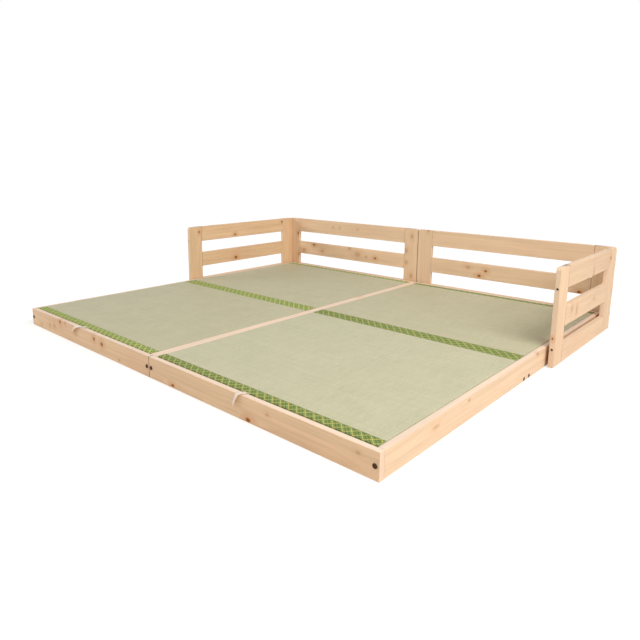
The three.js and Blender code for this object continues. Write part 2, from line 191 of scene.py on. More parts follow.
def length_property(name, description, default):
    return bpy.props.FloatProperty(
        name=name, description=description, default=default, min=0, precision=4, unit="LENGTH")


def share_property(name, description, default):
    return bpy.props.FloatProperty(
        name=name, description=description, default=default, min=0, max=1, subtype="FACTOR")


def light_property(name, description, default, unit="NONE"):
    return bpy.props.FloatProperty(
        name=name, description=description, default=default, min=0, unit=unit)


class PineSettings(bpy.types.PropertyGroup):
    """Colours and growth rings of the softwood boards."""

    early: colour_property("Early wood", "Pale wood between the rings", (0.80, 0.555, 0.338))
    late: colour_property("Late wood", "Darker wood of the rings", (0.66, 0.395, 0.205))
    blush: colour_property("Blush", "Warm patches in the wood", (0.74, 0.46, 0.275))
    end_grain: colour_property("End grain", "Sawn ends of the boards", (0.80, 0.60, 0.46))
    edge: colour_property("Board edges", "Paler wood of the narrow faces", (0.92, 0.745, 0.61))
    knot: colour_property("Knots", "Heart of a knot", (0.300, 0.095, 0.022))
    ring_pitch: length_property("Ring pitch", "Distance between growth rings", 0.0052)
    ring_strength: share_property("Ring strength", "How strongly the rings show", 0.4)


class RushSettings(bpy.types.PropertyGroup):
    """Colours and weave of the rush covers."""

    pale: colour_property("Pale stalks", "Bleached rush stalks", (0.582, 0.545, 0.356))
    green: colour_property("Green stalks", "Greener rush stalks", (0.456, 0.453, 0.270))
    stalk_width: length_property("Stalk width", "Width of one rush stalk", 0.0017)
    rib_pitch: length_property("Rib pitch", "Distance between the weave's ribs", 0.0150)


class ClothSettings(bpy.types.PropertyGroup):
    """Colours and lattice of the border cloth, and the tape's colour."""

    line: colour_property("Lattice lines", "Yellow green lines of the lattice", (0.55, 0.485, 0.130))
    field: colour_property("Lattice field", "Dark green between the lines", (0.134, 0.190, 0.044))
    fleck: colour_property("Flecks", "Light flecks inside each diamond", (0.315, 0.405, 0.150))
    tape: colour_property("Pull tape", "Cream webbing of the pull tapes", (0.95, 0.79, 0.64))
    lattice_run: length_property("Lattice run", "Length of one diamond along the border", 0.0325)


class MetalSettings(bpy.types.PropertyGroup):
    """Colour and polish of the bolts, nuts and screws."""

    bronze: colour_property("Bronze finish", "Dark bronze of bolts and screws", (0.050, 0.021, 0.011))
    roughness: share_property("Roughness", "Roughness of the bronze finish", 0.48)


class StudioSettings(bpy.types.PropertyGroup):
    """Floor and light round the beds."""

    floor: colour_property("Floor", "Colour of the floor", (0.90, 0.90, 0.90))
    key_power: light_property("Key lamp", "Power of the large lamp at the right", 174, "POWER")
    fill_power: light_property("Fill lamp", "Power of the lamp at the left front", 125, "POWER")
    fill: light_property("Room light", "Strength of the even light all round", 0.39)


# Places

def facing(node, axis, way):
    """Where a node's box ends along an axis, on the side that way points to."""
    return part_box(node)[way > 0][axis]


def middle_of(node):
    low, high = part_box(node)
    return (low + high) / 2


def spot(*places):
    """A vector from (axis, value) pairs, zero along the other axes."""
    made = Vector((0, 0, 0))
    for axis, value in places:
        made[axis] = value
    return made


# Meshes

def finish_piece(bm, name, smooth=True):
    """A new object at the origin from the mesh that bm holds."""
    mesh = bpy.data.meshes.new(name)
    for face in bm.faces:
        face.smooth = smooth
    bm.to_mesh(mesh)
    bm.free()
    piece = bpy.data.objects.new(name, mesh)
    bpy.context.scene.collection.objects.link(piece)
    return piece


def block(low, high):
    """A bmesh box between two corners."""
    bm = bmesh.new()
    bmesh.ops.create_cube(bm, size=1)
    bmesh.ops.scale(bm, vec=Vector(high) - Vector(low), verts=bm.verts)
    bmesh.ops.translate(bm, vec=(Vector(high) + Vector(low)) / 2, verts=bm.verts)
    return bm


def bevel_edges(bm, edges, width, steps):
    bmesh.ops.bevel(bm, geom=list(edges), affect="EDGES", offset=width, offset_type="OFFSET",
                    segments=steps, profile=0.5, material=-1, clamp_overlap=True)


def edges_along(bm, axis):
    """The edges that run along one axis, 0 to 2."""
    return [e for e in bm.edges
            if all(abs(e.verts[0].co[i] - e.verts[1].co[i]) < CLOSE for i in range(3) if i != axis)]


def edges_at(bm, axis, value):
    """The edges that lie in the plane where the axis has this value."""
    return [e for e in bm.edges if all(abs(v.co[axis] - value) < CLOSE for v in e.verts)]


def eased_board(low, high, along, ease, end_ease=0):
    """A board with rounded long edges, and rounded ends where end_ease is given."""
    bm = block(low, high)
    bevel_edges(bm, edges_along(bm, along), ease, EASE_STEPS)
    if end_ease:
        ends = edges_at(bm, along, low[along]) + edges_at(bm, along, high[along])
        bevel_edges(bm, ends, end_ease, EASE_STEPS)
    return bm


def slice_at(bm, axis, value):
    """Splits the faces along the plane where the axis has this value."""
    bmesh.ops.bisect_plane(bm, geom=bm.verts[:] + bm.edges[:] + bm.faces[:], dist=CLOSE,
                           plane_co=spot((axis, value)), plane_no=spot((axis, 1)))


def turned(profile, sides=ROUND_SIDES):
    """A bmesh turned about +Z from (radius, height) pairs that start and end on the axis."""
    bm = bmesh.new()
    verts = [bm.verts.new((radius, 0, height)) for radius, height in profile]
    edges = [bm.edges.new(pair) for pair in zip(verts, verts[1:])]
    bmesh.ops.spin(bm, geom=verts + edges, cent=(0, 0, 0), axis=(0, 0, 1), dvec=(0, 0, 0),
                   angle=math.tau, steps=sides, use_merge=True, use_normal_flip=False,
                   use_duplicate=False)
    bmesh.ops.remove_doubles(bm, verts=bm.verts, dist=CLOSE)
    bmesh.ops.recalc_face_normals(bm, faces=bm.faces)
    return bm


def prism(radius, depth, sides):
    """A bmesh cylinder about +Z with its middle at the origin."""
    bm = bmesh.new()
    bmesh.ops.create_cone(bm, cap_ends=True, segments=sides, radius1=radius, radius2=radius,
                          depth=depth)
    return bm


def placed(bm, place, direction):
    """Turns a mesh from +Z to a direction and puts it at a place."""
    turn = Z_AXIS.rotation_difference(Vector(direction)).to_matrix()
    bmesh.ops.rotate(bm, cent=(0, 0, 0), matrix=turn, verts=bm.verts)
    bmesh.ops.translate(bm, vec=place, verts=bm.verts)
    return bm


def drill_bit(place, direction, radius, depth, sides=ROUND_SIDES):
    """A cylinder that starts just outside place and runs depth along direction."""
    bm = prism(radius, depth + OVERRUN, sides)
    bmesh.ops.translate(bm, vec=(0, 0, (depth - OVERRUN) / 2), verts=bm.verts)
    return placed(bm, place, direction)


def bolt_bit(place, direction, depth=BOARD_THICKNESS + OVERRUN):
    return drill_bit(place, direction, BOLT_RADIUS + BORE_CLEARANCE, depth)


def screw_bits(place, direction, head, sink, shank, depth):
    """The bits for a screw: the wide mouth for its head, and the bore for its shank."""
    return [drill_bit(place, direction, radius + BORE_CLEARANCE, reach)
            for radius, reach in ((head, sink), (shank, depth))]


def gathered(parts):
    """One bmesh that holds all the parts' meshes."""
    whole = bmesh.new()
    for part in parts:
        mesh = bpy.data.meshes.new("part")
        part.to_mesh(mesh)
        part.free()
        whole.from_mesh(mesh)
        bpy.data.meshes.remove(mesh)
    return whole


def cut_out(piece, bits):
    """Cuts the bits' shapes out of a piece, all at once."""
    cutter = finish_piece(gathered(bits), piece.name + "_cutter")
    cut = piece.modifiers.new("Bores", "BOOLEAN")
    cut.operation = "DIFFERENCE"
    cut.solver = "EXACT"
    cut.use_self = True
    cut.object = cutter
    bpy.context.view_layer.update()
    shown = piece.evaluated_get(bpy.context.evaluated_depsgraph_get())
    mesh = bpy.data.meshes.new_from_object(shown)
    piece.modifiers.clear()
    uncut = piece.data
    piece.data = mesh
    bpy.data.meshes.remove(uncut)
    mesh.name = piece.name
    bpy.data.objects.remove(cutter)
    return piece


def thicken(piece, thickness, offset):
    solid = piece.modifiers.new("Thickness", "SOLIDIFY")
    solid.thickness = thickness
    solid.offset = offset
    solid.use_even_offset = True
    return solid


def unit_grid(columns, rows):
    bm = bmesh.new()
    bmesh.ops.create_grid(bm, x_segments=columns, y_segments=rows, size=0.5, calc_uvs=False)
    return bm


def lay_cloth(bm, uv_of):
    """Gives every corner its place on the cloth, in metres, worked out from the corner's place."""
    layer = bm.loops.layers.uv.new("cloth")
    for face in bm.faces:
        for loop in face.loops:
            loop[layer].uv = uv_of(loop.vert.co)


def even_shading(piece):
    weighted = piece.modifiers.new("Even shading", "WEIGHTED_NORMAL")
    weighted.keep_sharp = True
    weighted.weight = 80


def store(piece, name, domain, values):
    """Keeps one number for each point or face as a named attribute of the mesh."""
    attribute = piece.data.attributes.new(name, "FLOAT", domain)
    for stored, value in zip(attribute.data, values):
        stored.value = value


# How light the boards that show are: -2 dark, 2 pale
SEEN_TONES = {"right_guard_top_rail_timber": -2.0, "right_outer_side_board_timber": -0.3}

# How far from a board's middle its log's pith runs, and how far it leans in each metre
PITH_ACROSS = 0.035
PITH_OUT = (0.030, 0.075)
PITH_LEAN = 0.012


def give_grain(piece, along, thin):
    """Stores each point's place in its own log as the attribute grain: along, across and out."""
    chance = random.Random("slatted bed " + piece.name)
    across = 3 - along - thin
    places = [v.co for v in piece.data.vertices]
    middle = [(min(p[i] for p in places) + max(p[i] for p in places)) / 2 for i in range(3)]
    start = chance.uniform(1, 40)
    pith_across = chance.uniform(-PITH_ACROSS, PITH_ACROSS)
    pith_out = chance.uniform(*PITH_OUT) * chance.choice((-1, 1))
    tilt_across = chance.uniform(-PITH_LEAN, PITH_LEAN)
    tilt_out = chance.uniform(-PITH_LEAN, PITH_LEAN)
    grain = piece.data.attributes.new("grain", "FLOAT_VECTOR", "POINT")
    for p, stored in zip(places, grain.data):
        run = p[along] - middle[along]
        stored.vector = (run + start, p[across] - middle[across] + pith_across + tilt_across * run,
                         p[thin] - middle[thin] + pith_out + tilt_out * run)
    tone = SEEN_TONES.get(piece.name, chance.uniform(-1, 1))
    store(piece, "tone", "POINT", [tone] * len(places))
    for name, axis in (("end_grain", along), ("narrow", across)):
        store(piece, name, "FACE", [abs(p.normal[axis]) ** 2 for p in piece.data.polygons])


def paint_seam_shade(piece, axis, places, reach, strength=1.0):
    """Marks the faces within reach of each seam for painted shade, so that the gap between two boards
    reads dark.
    """
    store(piece, "seam", "FACE",
          [strength * any(abs(p.center[axis] - place) < reach for place in places)
           for p in piece.data.polygons])


def dress(piece, body, slot, finish, *nodes):
    """Gives the piece its finish, puts it on its body and hides what it replaces. The slot is not used.
    """
    piece.data.materials.clear()
    piece.data.materials.append(finish)
    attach(piece, body)
    if nodes:
        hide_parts(*nodes)


def timber(bm, name, along, thin, slot, finish, node, bits=(), seams=()):
    """A wooden piece of the frame: bored, then given its grain, the painted shade at its seams, and its
    finish.
    """
    piece = finish_piece(bm, name)
    if bits:
        cut_out(piece, bits)
    give_grain(piece, along, thin)
    if seams:
        paint_seam_shade(piece, *seams)
    even_shading(piece)
    dress(piece, "frame", slot, finish, node)


def steelwork(bm, name, bits, finish, *nodes, crisp=CRISP_ANGLE):
    """A fastener of the frame with crisp edges, and with its recess or bore cut."""
    piece = cut_out(finish_piece(bm, name), bits)
    piece.modifiers.new("Crisp edges", "EDGE_SPLIT").split_angle = math.radians(crisp)
    dress(piece, "frame", "bronze_steel", finish, *nodes)


# Materials

class Value:
    """A number that nodes work out. Arithmetic on it adds the nodes for it to the tree."""

    def __init__(self, nodes, socket):
        self.nodes = nodes
        self.socket = socket

    def __add__(self, other):
        return self.nodes.math("ADD", self, other)

    def __sub__(self, other):
        return self.nodes.math("SUBTRACT", self, other)

    def __mul__(self, other):
        return self.nodes.math("MULTIPLY", self, other)

    def __truediv__(self, other):
        return self.nodes.math("DIVIDE", self, other)


class Nodes:
    """A node tree with a method for each kind of node that the finishes and the sky use."""

    def __init__(self, owner, output):
        owner.use_nodes = True
        self.tree = owner.node_tree
        self.tree.nodes.clear()
        self.output = self.tree.nodes.new(output)

    def node(self, kind, feeds=(), **settings):
        made = self.tree.nodes.new(kind)
        for key, value in settings.items():
            setattr(made, key, value)
        for place, value in feeds:
            self.feed(made.inputs[place], value)
        return made

    def feed(self, socket, value):
        if isinstance(value, Value):
            value = value.socket
        if isinstance(value, bpy.types.NodeSocket):
            self.tree.links.new(value, socket)
        elif socket.type == "RGBA" and len(value) == 3:
            socket.default_value = (*value, 1)
        else:
            socket.default_value = value

    def show(self, shader):
        self.feed(self.output.inputs["Surface"], shader)

    def show_to_camera(self, shown, hidden, share=1.0):
        """Shows one shader to the camera and to mirrors, and the other one to all else."""
        rays = self.node("ShaderNodeLightPath").outputs
        seen = self.math("MAXIMUM", rays["Is Camera Ray"], rays["Is Glossy Ray"])
        seen = self.math("MAXIMUM", seen, rays["Is Transmission Ray"])
        feeds = [(0, seen * share), (1, hidden), (2, shown)]
        self.show(self.node("ShaderNodeMixShader", feeds).outputs[0])

    def math(self, operation, a, b=0.0):
        made = self.node("ShaderNodeMath", [(0, a), (1, b)], operation=operation)
        return Value(self, made.outputs[0])

    def most(self, a, b):
        return self.math("MAXIMUM", a, b)

    def least(self, a, b):
        return self.math("MINIMUM", a, b)

    def fraction(self, a):
        return self.math("FRACT", a)

    def sine(self, a):
        return self.math("SINE", a)

    def size(self, a):
        return self.math("ABSOLUTE", a)

    def span(self, value, low, high, to_low=0.0, to_high=1.0, smooth=True):
        feeds = [(0, value), (1, low), (2, high), (3, to_low), (4, to_high)]
        kind = "SMOOTHSTEP" if smooth else "LINEAR"
        return Value(self, self.node("ShaderNodeMapRange", feeds, interpolation_type=kind).outputs[0])

    def attribute(self, name):
        return Value(self, self.node("ShaderNodeAttribute", attribute_name=name).outputs["Fac"])

    def place(self):
        return self.node("ShaderNodeTexCoord").outputs["Object"]

    def cloth_place(self):
        return self.node("ShaderNodeUVMap", uv_map="cloth").outputs[0]

    def split(self, vector):
        parts = self.node("ShaderNodeSeparateXYZ", [(0, vector)]).outputs
        return [Value(self, parts[i]) for i in range(3)]

    def joined(self, x, y, z):
        return self.node("ShaderNodeCombineXYZ", [(0, x), (1, y), (2, z)]).outputs[0]

    def times(self, a, b):
        """The product of two vectors or colours, part by part."""
        return self.node("ShaderNodeVectorMath", [(0, a), (1, b)], operation="MULTIPLY").outputs[0]

    def reach(self, place, centre, radii):
        """The distance from a centre, in radii that differ along the axes."""
        feeds = [(0, place), (1, tuple(1 / r for r in radii)),
                 (2, tuple(-c / r for c, r in zip(centre, radii)))]
        scaled = self.node("ShaderNodeVectorMath", feeds, operation="MULTIPLY_ADD").outputs[0]
        length = self.node("ShaderNodeVectorMath", [(0, scaled)], operation="LENGTH")
        return Value(self, length.outputs["Value"])

    def noise(self, vector, stretch, detail=2.0, roughness=0.5):
        feeds = [("Vector", self.times(vector, stretch)), ("Scale", 1.0), ("Detail", detail),
                 ("Roughness", roughness)]
        return Value(self, self.node("ShaderNodeTexNoise", feeds).outputs["Fac"])

    def cells(self, vector, stretch, **settings):
        """Scattered cells: the distance from each cell's centre, and three chance numbers."""
        feeds = [("Vector", self.times(vector, stretch)), ("Scale", 1.0), ("Randomness", 1.0)]
        made = self.node("ShaderNodeTexVoronoi", feeds, **settings).outputs
        return Value(self, made["Distance"]), *self.split(made["Color"])

    def blend(self, share, a, b):
        feeds = [(0, share), (6, a), (7, b)]
        return self.node("ShaderNodeMix", feeds, data_type="RGBA", blend_type="MIX").outputs[2]

    def shade(self, colour, factor):
        """The colour with its brightness times a factor near one."""
        return self.times(colour, self.joined(factor, factor, factor))


class Finish(Nodes):
    """A new material and its main shader."""

    def __init__(self, name):
        self.material = bpy.data.materials.new(name)
        super().__init__(self.material, "ShaderNodeOutputMaterial")
        self.shader = self.node("ShaderNodeBsdfPrincipled")
        self.show(self.shader.outputs["BSDF"])

    def set(self, name, value):
        self.feed(self.shader.inputs[name], value)

    def bump(self, height, distance, strength=1.0):
        feeds = [("Height", height), ("Distance", distance), ("Strength", strength)]
        self.set("Normal", self.node("ShaderNodeBump", feeds).outputs[0])


# The finishes made so far, by name
finishes = {}


def kept(describe):
    """Makes a finish the first time its name is asked for, and gives the same one after."""

    def named(name, *details, **more):
        if name not in finishes:
            finishes[name] = Finish(name)
            describe(finishes[name], *details, **more)
        return finishes[name].material
    return named


# Wood round a knot, a faint knot, the rim of a dark one, and the painted shade in the gaps between
# boards and round the cross screws' recesses
HALO = (0.64, 0.345, 0.175)
FAINT_KNOT = (0.42, 0.150, 0.045)
KNOT_RIM = (0.52, 0.215, 0.075)
PAINTED_SHADE = (0.070, 0.024, 0.010)


@kept
def pine_finish(f, knots=(), plain=1.0, lift=1.0, wash=0.0, pale_edges=0.75):
    """Sawn and sanded softwood. Knots are (centre, radii, kind), and plain 1 leaves random ones
    out. Lift brightens the wood, and wash pales it towards the colour of the narrow faces."""
    wood = bpy.context.scene.bed_pine
    grain = f.node("ShaderNodeAttribute", attribute_name="grain").outputs["Vector"]
    _, across, out = f.split(grain)

    # How near each point is to the nearest knot or spot of painted shade: 1 at its rim
    place = f.place()
    nearest = {"dark": 9.0, "faint": 9.0, "recess_shade": 9.0}
    for centre, radii, kind in knots:
        nearest[kind] = f.least(nearest[kind], f.reach(place, centre, radii))
    distance, pick, size, _ = f.cells(grain, (5.2, 13.0, 0.0), voronoi_dimensions="2D")
    stray = distance / f.span(size, 0, 1, 0.030, 0.085) + f.span(pick, 0.30, 0.31, 0, 9, smooth=False)
    dark = f.least(nearest["dark"], stray + 9.0 * plain)
    ragged = f.span(f.noise(place, (420, 420, 420)), 0, 1, -0.28, 0.28, smooth=False)
    rim = dark + ragged
    core = f.span(rim, 1.12, 0.62)
    blot = f.span(ragged + nearest["faint"], 1.35, 0.30, 0, 0.42)
    # Painted shade round each cross screw's recess, darkest over the recess
    recess_shade = f.span(ragged + nearest["recess_shade"], 1.20, 0.85, 0, 0.92)
    halo = f.most(f.span(dark, 4.2, 0.9), f.span(nearest["faint"], 3.4, 0.9, 0, 0.45))

    # Growth rings round the pith, drawn aside by knots
    radius = f.math("SQRT", across * across + out * out)
    drift = f.noise(grain, (2.3, 11, 11), 3)
    pushed = radius + f.span(drift, 0, 1, -0.011, 0.011, smooth=False) + halo * 0.0045
    phase = f.fraction(pushed / wood.ring_pitch)
    uneven = f.noise(grain, (1.3, 60, 60))
    late = f.span(phase, 0.25, 0.86) * f.span(phase, 1.0, 0.90) * f.span(uneven, 0.25, 0.75, 0.25, 1.0)

    fibre = f.noise(grain, (16, 420, 420), 3, 0.65)
    streak = f.noise(grain, (2.2, 70, 70), 2, 0.6)
    patch = f.noise(grain, (2.6, 8, 8))
    light = (f.span(fibre, 0.2, 0.8, 0.945, 1.045, smooth=False)
             * f.span(streak, 0.25, 0.75, 0.93, 1.05)
             * f.span(f.attribute("tone"), -2, 2, 0.915 * lift, 1.07 * lift, smooth=False))

    colour = f.blend(late * wood.ring_strength, wood.early, wood.late)
    colour = f.blend(f.span(patch, 0.38, 0.78, 0, 0.6), colour, wood.blush)
    pale = f.most(f.attribute("narrow") * pale_edges, wash)
    colour = f.blend(pale, f.shade(colour, light), f.shade(tuple(wood.edge), light))
    colour = f.blend(halo * 0.52, colour, HALO)
    colour = f.blend(blot, colour, FAINT_KNOT)
    colour = f.blend(f.attribute("end_grain") * 0.6, colour, wood.end_grain)
    # Painted shade: the faces at the gaps between boards and round the cross screws' recesses turn
    # almost black
    colour = f.blend(f.most(f.attribute("seam") * 0.95, recess_shade), colour, PAINTED_SHADE)
    heart = f.blend(f.span(rim, 0.2, 0.95), wood.knot, KNOT_RIM)
    f.set("Base Color", f.blend(core, colour, heart))
    f.set("Specular IOR Level", f.span(f.most(core, recess_shade), 0, 1, 0.25, 0.04))
    f.set("Roughness", f.span(fibre, 0.2, 0.8, 0.58, 0.48, smooth=False) - core * 0.12)
    f.bump(fibre * 0.35 + late * -0.25 + core * 0.4, 0.00025, 0.6)


# Tints of the rush: a painted sheen on the near board, and painted warm light bounced off the wood on
# the others
SHEEN_TINT = (1.015, 1.025, 1.035)
WARM_LIGHT_TINT = (0.967, 0.952, 0.926)


@kept
def rush_finish(f):
    """Woven rush: stalks along Y with raised ribs across them, unevenly coloured, the near board tinted
    with a painted sheen and the others with painted warm light.
    """
    rush = bpy.context.scene.bed_rush
    place = f.place()
    x, y, _ = f.split(place)
    column = x / rush.stalk_width
    number = f.math("FLOOR", column)
    round_stalk = f.sine(f.fraction(column) * math.pi)
    wave = y / rush.rib_pitch + f.fraction(number * 0.5)
    rib = f.sine(wave * math.tau)
    stitch = f.span(f.size(f.fraction(wave) - 0.5), 0.42, 0.5)

    by_stalk = f.noise(f.joined(number, y * 16.0, 0.0), (0.83, 1, 1), 1)
    by_band = f.noise(place, (46, 2.0, 1), 2, 0.6)
    cross_band = f.noise(place, (3.0, 90, 1), 2, 0.6)
    mottle = f.noise(place, (9, 9, 1), 3, 0.6)
    grainy = f.noise(place, (260, 130, 1), 2, 0.7)
    greener = (f.span(by_stalk, 0.25, 0.75, -0.1, 0.45) + f.span(by_band, 0.3, 0.7, -0.06, 0.12)
               + f.span(mottle, 0.3, 0.7, -0.08, 0.16))
    colour = f.blend(f.most(f.least(greener, 1.0), 0.0), rush.pale, rush.green)
    # Painted shade in the creases of the weave: darker at the stalks' edges and along the stitches, with
    # a slight painted highlight on each stalk's middle
    light = (f.span(cross_band, 0.3, 0.7, 0.97, 1.03) * f.span(grainy, 0.25, 0.75, 0.94, 1.06)
             * f.span(round_stalk, 0, 1, 0.84, 1.04) * f.span(stitch, 0, 1, 1.0, 0.86))
    # Painted light: the sheen tint on the near board, the warm light tint on the others
    tint = f.blend(f.attribute("faded"), SHEEN_TINT, WARM_LIGHT_TINT)
    f.set("Base Color", f.times(f.shade(colour, light), tint))
    f.set("Roughness", f.span(by_stalk, 0.2, 0.8, 0.50, 0.68))
    f.set("Sheen Weight", 0.12)
    f.bump(round_stalk + rib * 0.55 - stitch * 0.7, 0.00035, 0.7)


@kept
def border_finish(f, lift):
    """Woven cloth with a diamond lattice: its UV runs along the border and across it, in metres."""
    cloth = bpy.context.scene.bed_cloth
    uv = f.cloth_place()
    u, v, _ = f.split(uv)
    along = u / cloth.lattice_run
    over = v / BORDER_WIDTH
    wander = f.span(f.noise(uv, (900, 900, 1), 1), 0, 1, -0.018, 0.018, smooth=False)
    lines, flecks = [], []
    for way in (along + over + wander, along - over + wander):
        lines.append(f.span(f.size(f.fraction(way + 0.5) - 0.5), 0.070, 0.034))
        flecks.append(f.span(f.size(f.fraction(way * 3.0) - 0.5), 0.30, 0.16))
    lattice = f.most(*lines)
    fleck = flecks[0] * flecks[1]
    edge = f.span(over, 0.93, 0.975)

    thread = f.noise(uv, (1500, 1500, 1), 1, 0.6)
    weave = f.sine(u * (math.tau / THREAD_PITCH)) * f.sine(v * (math.tau / THREAD_PITCH))
    worn = f.noise(uv, (24, 60, 1), 2, 0.6)
    colour = f.blend(fleck * 0.85, cloth.field, cloth.fleck)
    colour = f.blend(lattice, colour, cloth.line)
    colour = f.blend(edge * 0.65, colour, (0.140, 0.190, 0.040))
    # Lift brightens the whole cloth: on the left bed it is a painted sheen
    light = (f.span(thread, 0.25, 0.75, 0.88, 1.12, smooth=False) * f.span(weave, -1, 1, 0.93, 1.07)
             * f.span(worn, 0.3, 0.7, 0.94 * lift, 1.06 * lift))
    f.set("Base Color", f.shade(colour, light))
    f.set("Roughness", f.span(lattice, 0, 1, 0.88, 0.66))
    f.set("Specular IOR Level", 0.25)
    f.set("Sheen Weight", 0.03)
    f.bump(weave * 0.3 + lattice * 0.8, 0.00015, 0.7)


@kept
def webbing_finish(f, colour, rib):
    """Herringbone webbing: its UV runs across the tape and along it, in metres."""
    uv = f.cloth_place()
    u, v, _ = f.split(uv)
    twill = f.sine((v + f.math("PINGPONG", u, 0.0025)) * (math.tau / rib))
    fuzz = f.noise(uv, (1800, 1800, 1), 2, 0.7)
    soil = f.noise(uv, (60, 25, 1))
    light = (f.span(twill, -1, 1, 0.90, 1.03) * f.span(fuzz, 0.25, 0.75, 0.94, 1.05)
             * f.span(soil, 0.3, 0.7, 0.95, 1.02))
    f.set("Base Color", f.shade(colour, light))
    f.set("Roughness", f.span(fuzz, 0.2, 0.8, 0.78, 0.92))
    f.set("Sheen Weight", 0.25)
    f.bump(twill * 0.6 + fuzz, 0.0002, 0.8)


@kept
def fibreboard_finish(f):
    """Pressed wood fibre of the mat cores, flecked."""
    place = f.place()
    _, chip, _, _ = f.cells(place, (330, 520, 520))
    fuzz = f.noise(place, (1400, 1400, 1400), 3, 0.7)
    cloud = f.noise(place, (14, 14, 14), 3, 0.6)
    colour = f.blend(f.span(chip, 0, 1), (0.46, 0.285, 0.145), (0.62, 0.42, 0.235))
    colour = f.blend(f.span(cloud, 0.35, 0.7, 0, 0.35), colour, (0.38, 0.22, 0.10))
    f.set("Base Color", f.shade(colour, f.span(fuzz, 0.25, 0.75, 0.88, 1.1)))
    f.set("Roughness", f.span(fuzz, 0.25, 0.75, 0.75, 0.9))
    f.bump(fuzz + chip * 0.4, 0.0002, 0.6)


@kept
def bronze_finish(f):
    """Dark bronze plating, slightly mottled and brushed."""
    metal = bpy.context.scene.bed_metal
    place = f.place()
    patina = f.noise(place, (260, 260, 260), 3, 0.6)
    scuffs = f.noise(place, (1900, 1900, 300), 2, 0.6)
    f.set("Base Color", f.blend(f.span(patina, 0.3, 0.7), metal.bronze, (0.095, 0.042, 0.022)))
    f.set("Metallic", 0.15)
    f.set("Specular IOR Level", 0.15)
    f.set("Roughness", f.span(scuffs, 0.25, 0.75, metal.roughness * 0.8, metal.roughness * 1.35))
    f.bump(patina + scuffs, 0.00006, 0.5)


@kept
def zinc_finish(f):
    """Bright zinc plating of the hidden nuts."""
    place = f.place()
    _, grey, _, _ = f.cells(place, (700, 700, 700))
    scuffs = f.noise(place, (1500, 1500, 400), 2, 0.6)
    f.set("Base Color", f.blend(f.span(grey, 0, 1), (0.50, 0.50, 0.47), (0.64, 0.64, 0.61)))
    f.set("Metallic", 0.95)
    f.set("Roughness", f.span(scuffs, 0.25, 0.75, 0.28, 0.46))
    f.bump(scuffs, 0.00005, 0.5)


def plain_pine():
    """The pine of the boards that the photo doesn't show closely, with random knots."""
    return pine_finish("Pine", plain=0.0)


def bronze():
    return bronze_finish("Bronze plated steel")


def zinc():
    return zinc_finish("Zinc plated steel")


# Knots

KNOT_SPREAD = 1.5
KNOT_STRETCH = 1.35


def knot(x, y, z, size, along=0, stretch=KNOT_STRETCH, kind="dark"):
    """A knot of this radius, drawn out along the board by stretch."""
    radii = [size * KNOT_SPREAD] * 3
    radii[along] *= stretch
    return (x, y, z), tuple(radii), kind


def faint(x, y, z, size, along=0, stretch=KNOT_STRETCH):
    """A knot that only tints the wood."""
    return knot(x, y, z, size, along, stretch, "faint")


# The knots of each front board: kind, stretch, and each knot's x, z and radius
FRONT_KNOTS = {
    "left": [(knot, 1.0, [(-0.403, 0.057, 0.0060), (-0.340, 0.048, 0.0070), (-0.708, 0.069, 0.0060)]),
             (faint, 1.0, [(-0.815, 0.033, 0.0070), (-0.769, 0.036, 0.0080), (-0.658, 0.074, 0.0060),
                           (-0.210, 0.014, 0.0050), (-0.905, 0.018, 0.0050)])],
    "right": [(knot, 1.6, [(0.144, 0.010, 0.0045), (0.528, 0.009, 0.0055)]),
              (faint, 1.8, [(0.610, 0.052, 0.0032), (0.935, 0.056, 0.0034)])],
}


def front_knots(label):
    face = facing(f"{label}_front_board", 1, -1)
    return [make(x, face, z, size, 0, stretch)
            for make, stretch, spots in FRONT_KNOTS[label] for x, z, size in spots]


def side_knots(label, face):
    if label == "left":
        return []
    return [knot(face, 0.101, 0.074, 0.0030, 1), knot(face, -0.444, 0.066, 0.0020, 1),
            faint(face, -0.640, 0.050, 0.0042, 1, 3.5)]


# Frames

def guard_bolt_places():
    """Each guard bolt as (head seat, direction from the head into the guard)."""
    places = []
    for label, side in SIDES.items():
        seat_x = facing(f"{label}_outer_side_board", 0, side) - side * BOARD_THICKNESS
        for post, way in (("front", 1), ("rear", -1)):
            y = facing(f"{label}_guard_{post}_post", 1, -way) + way * SPACER_INSET
            places.append((Vector((seat_x, y, GUARD_BOLT_Z)), Vector((side, 0, 0))))
        seat_y = facing(f"{label}_rear_board", 1, -1)
        for post, way in (("inner", side), ("outer", -side)):
            x = facing(f"rear_{label}_guard_{post}_post", 0, -way) + way * SPACER_INSET
            places.append((Vector((x, seat_y, GUARD_BOLT_Z)), Vector((0, 1, 0))))
    return places


def cross_screw_places(x):
    """The two screws of a cross board where they pass this x."""
    middle = middle_of("left_cross_board")
    return [(x, middle.y + step * CROSS_SCREW_SPACING / 2, middle.z) for step in (-1, 1)]


def side_boards():
    """Each side board as (bed label, role, outward direction, x of its outward face)."""
    for label, side in SIDES.items():
        for role, out in (("outer", side), ("inner", -side)):
            yield label, role, out, facing(f"{label}_{role}_side_board", 0, out)


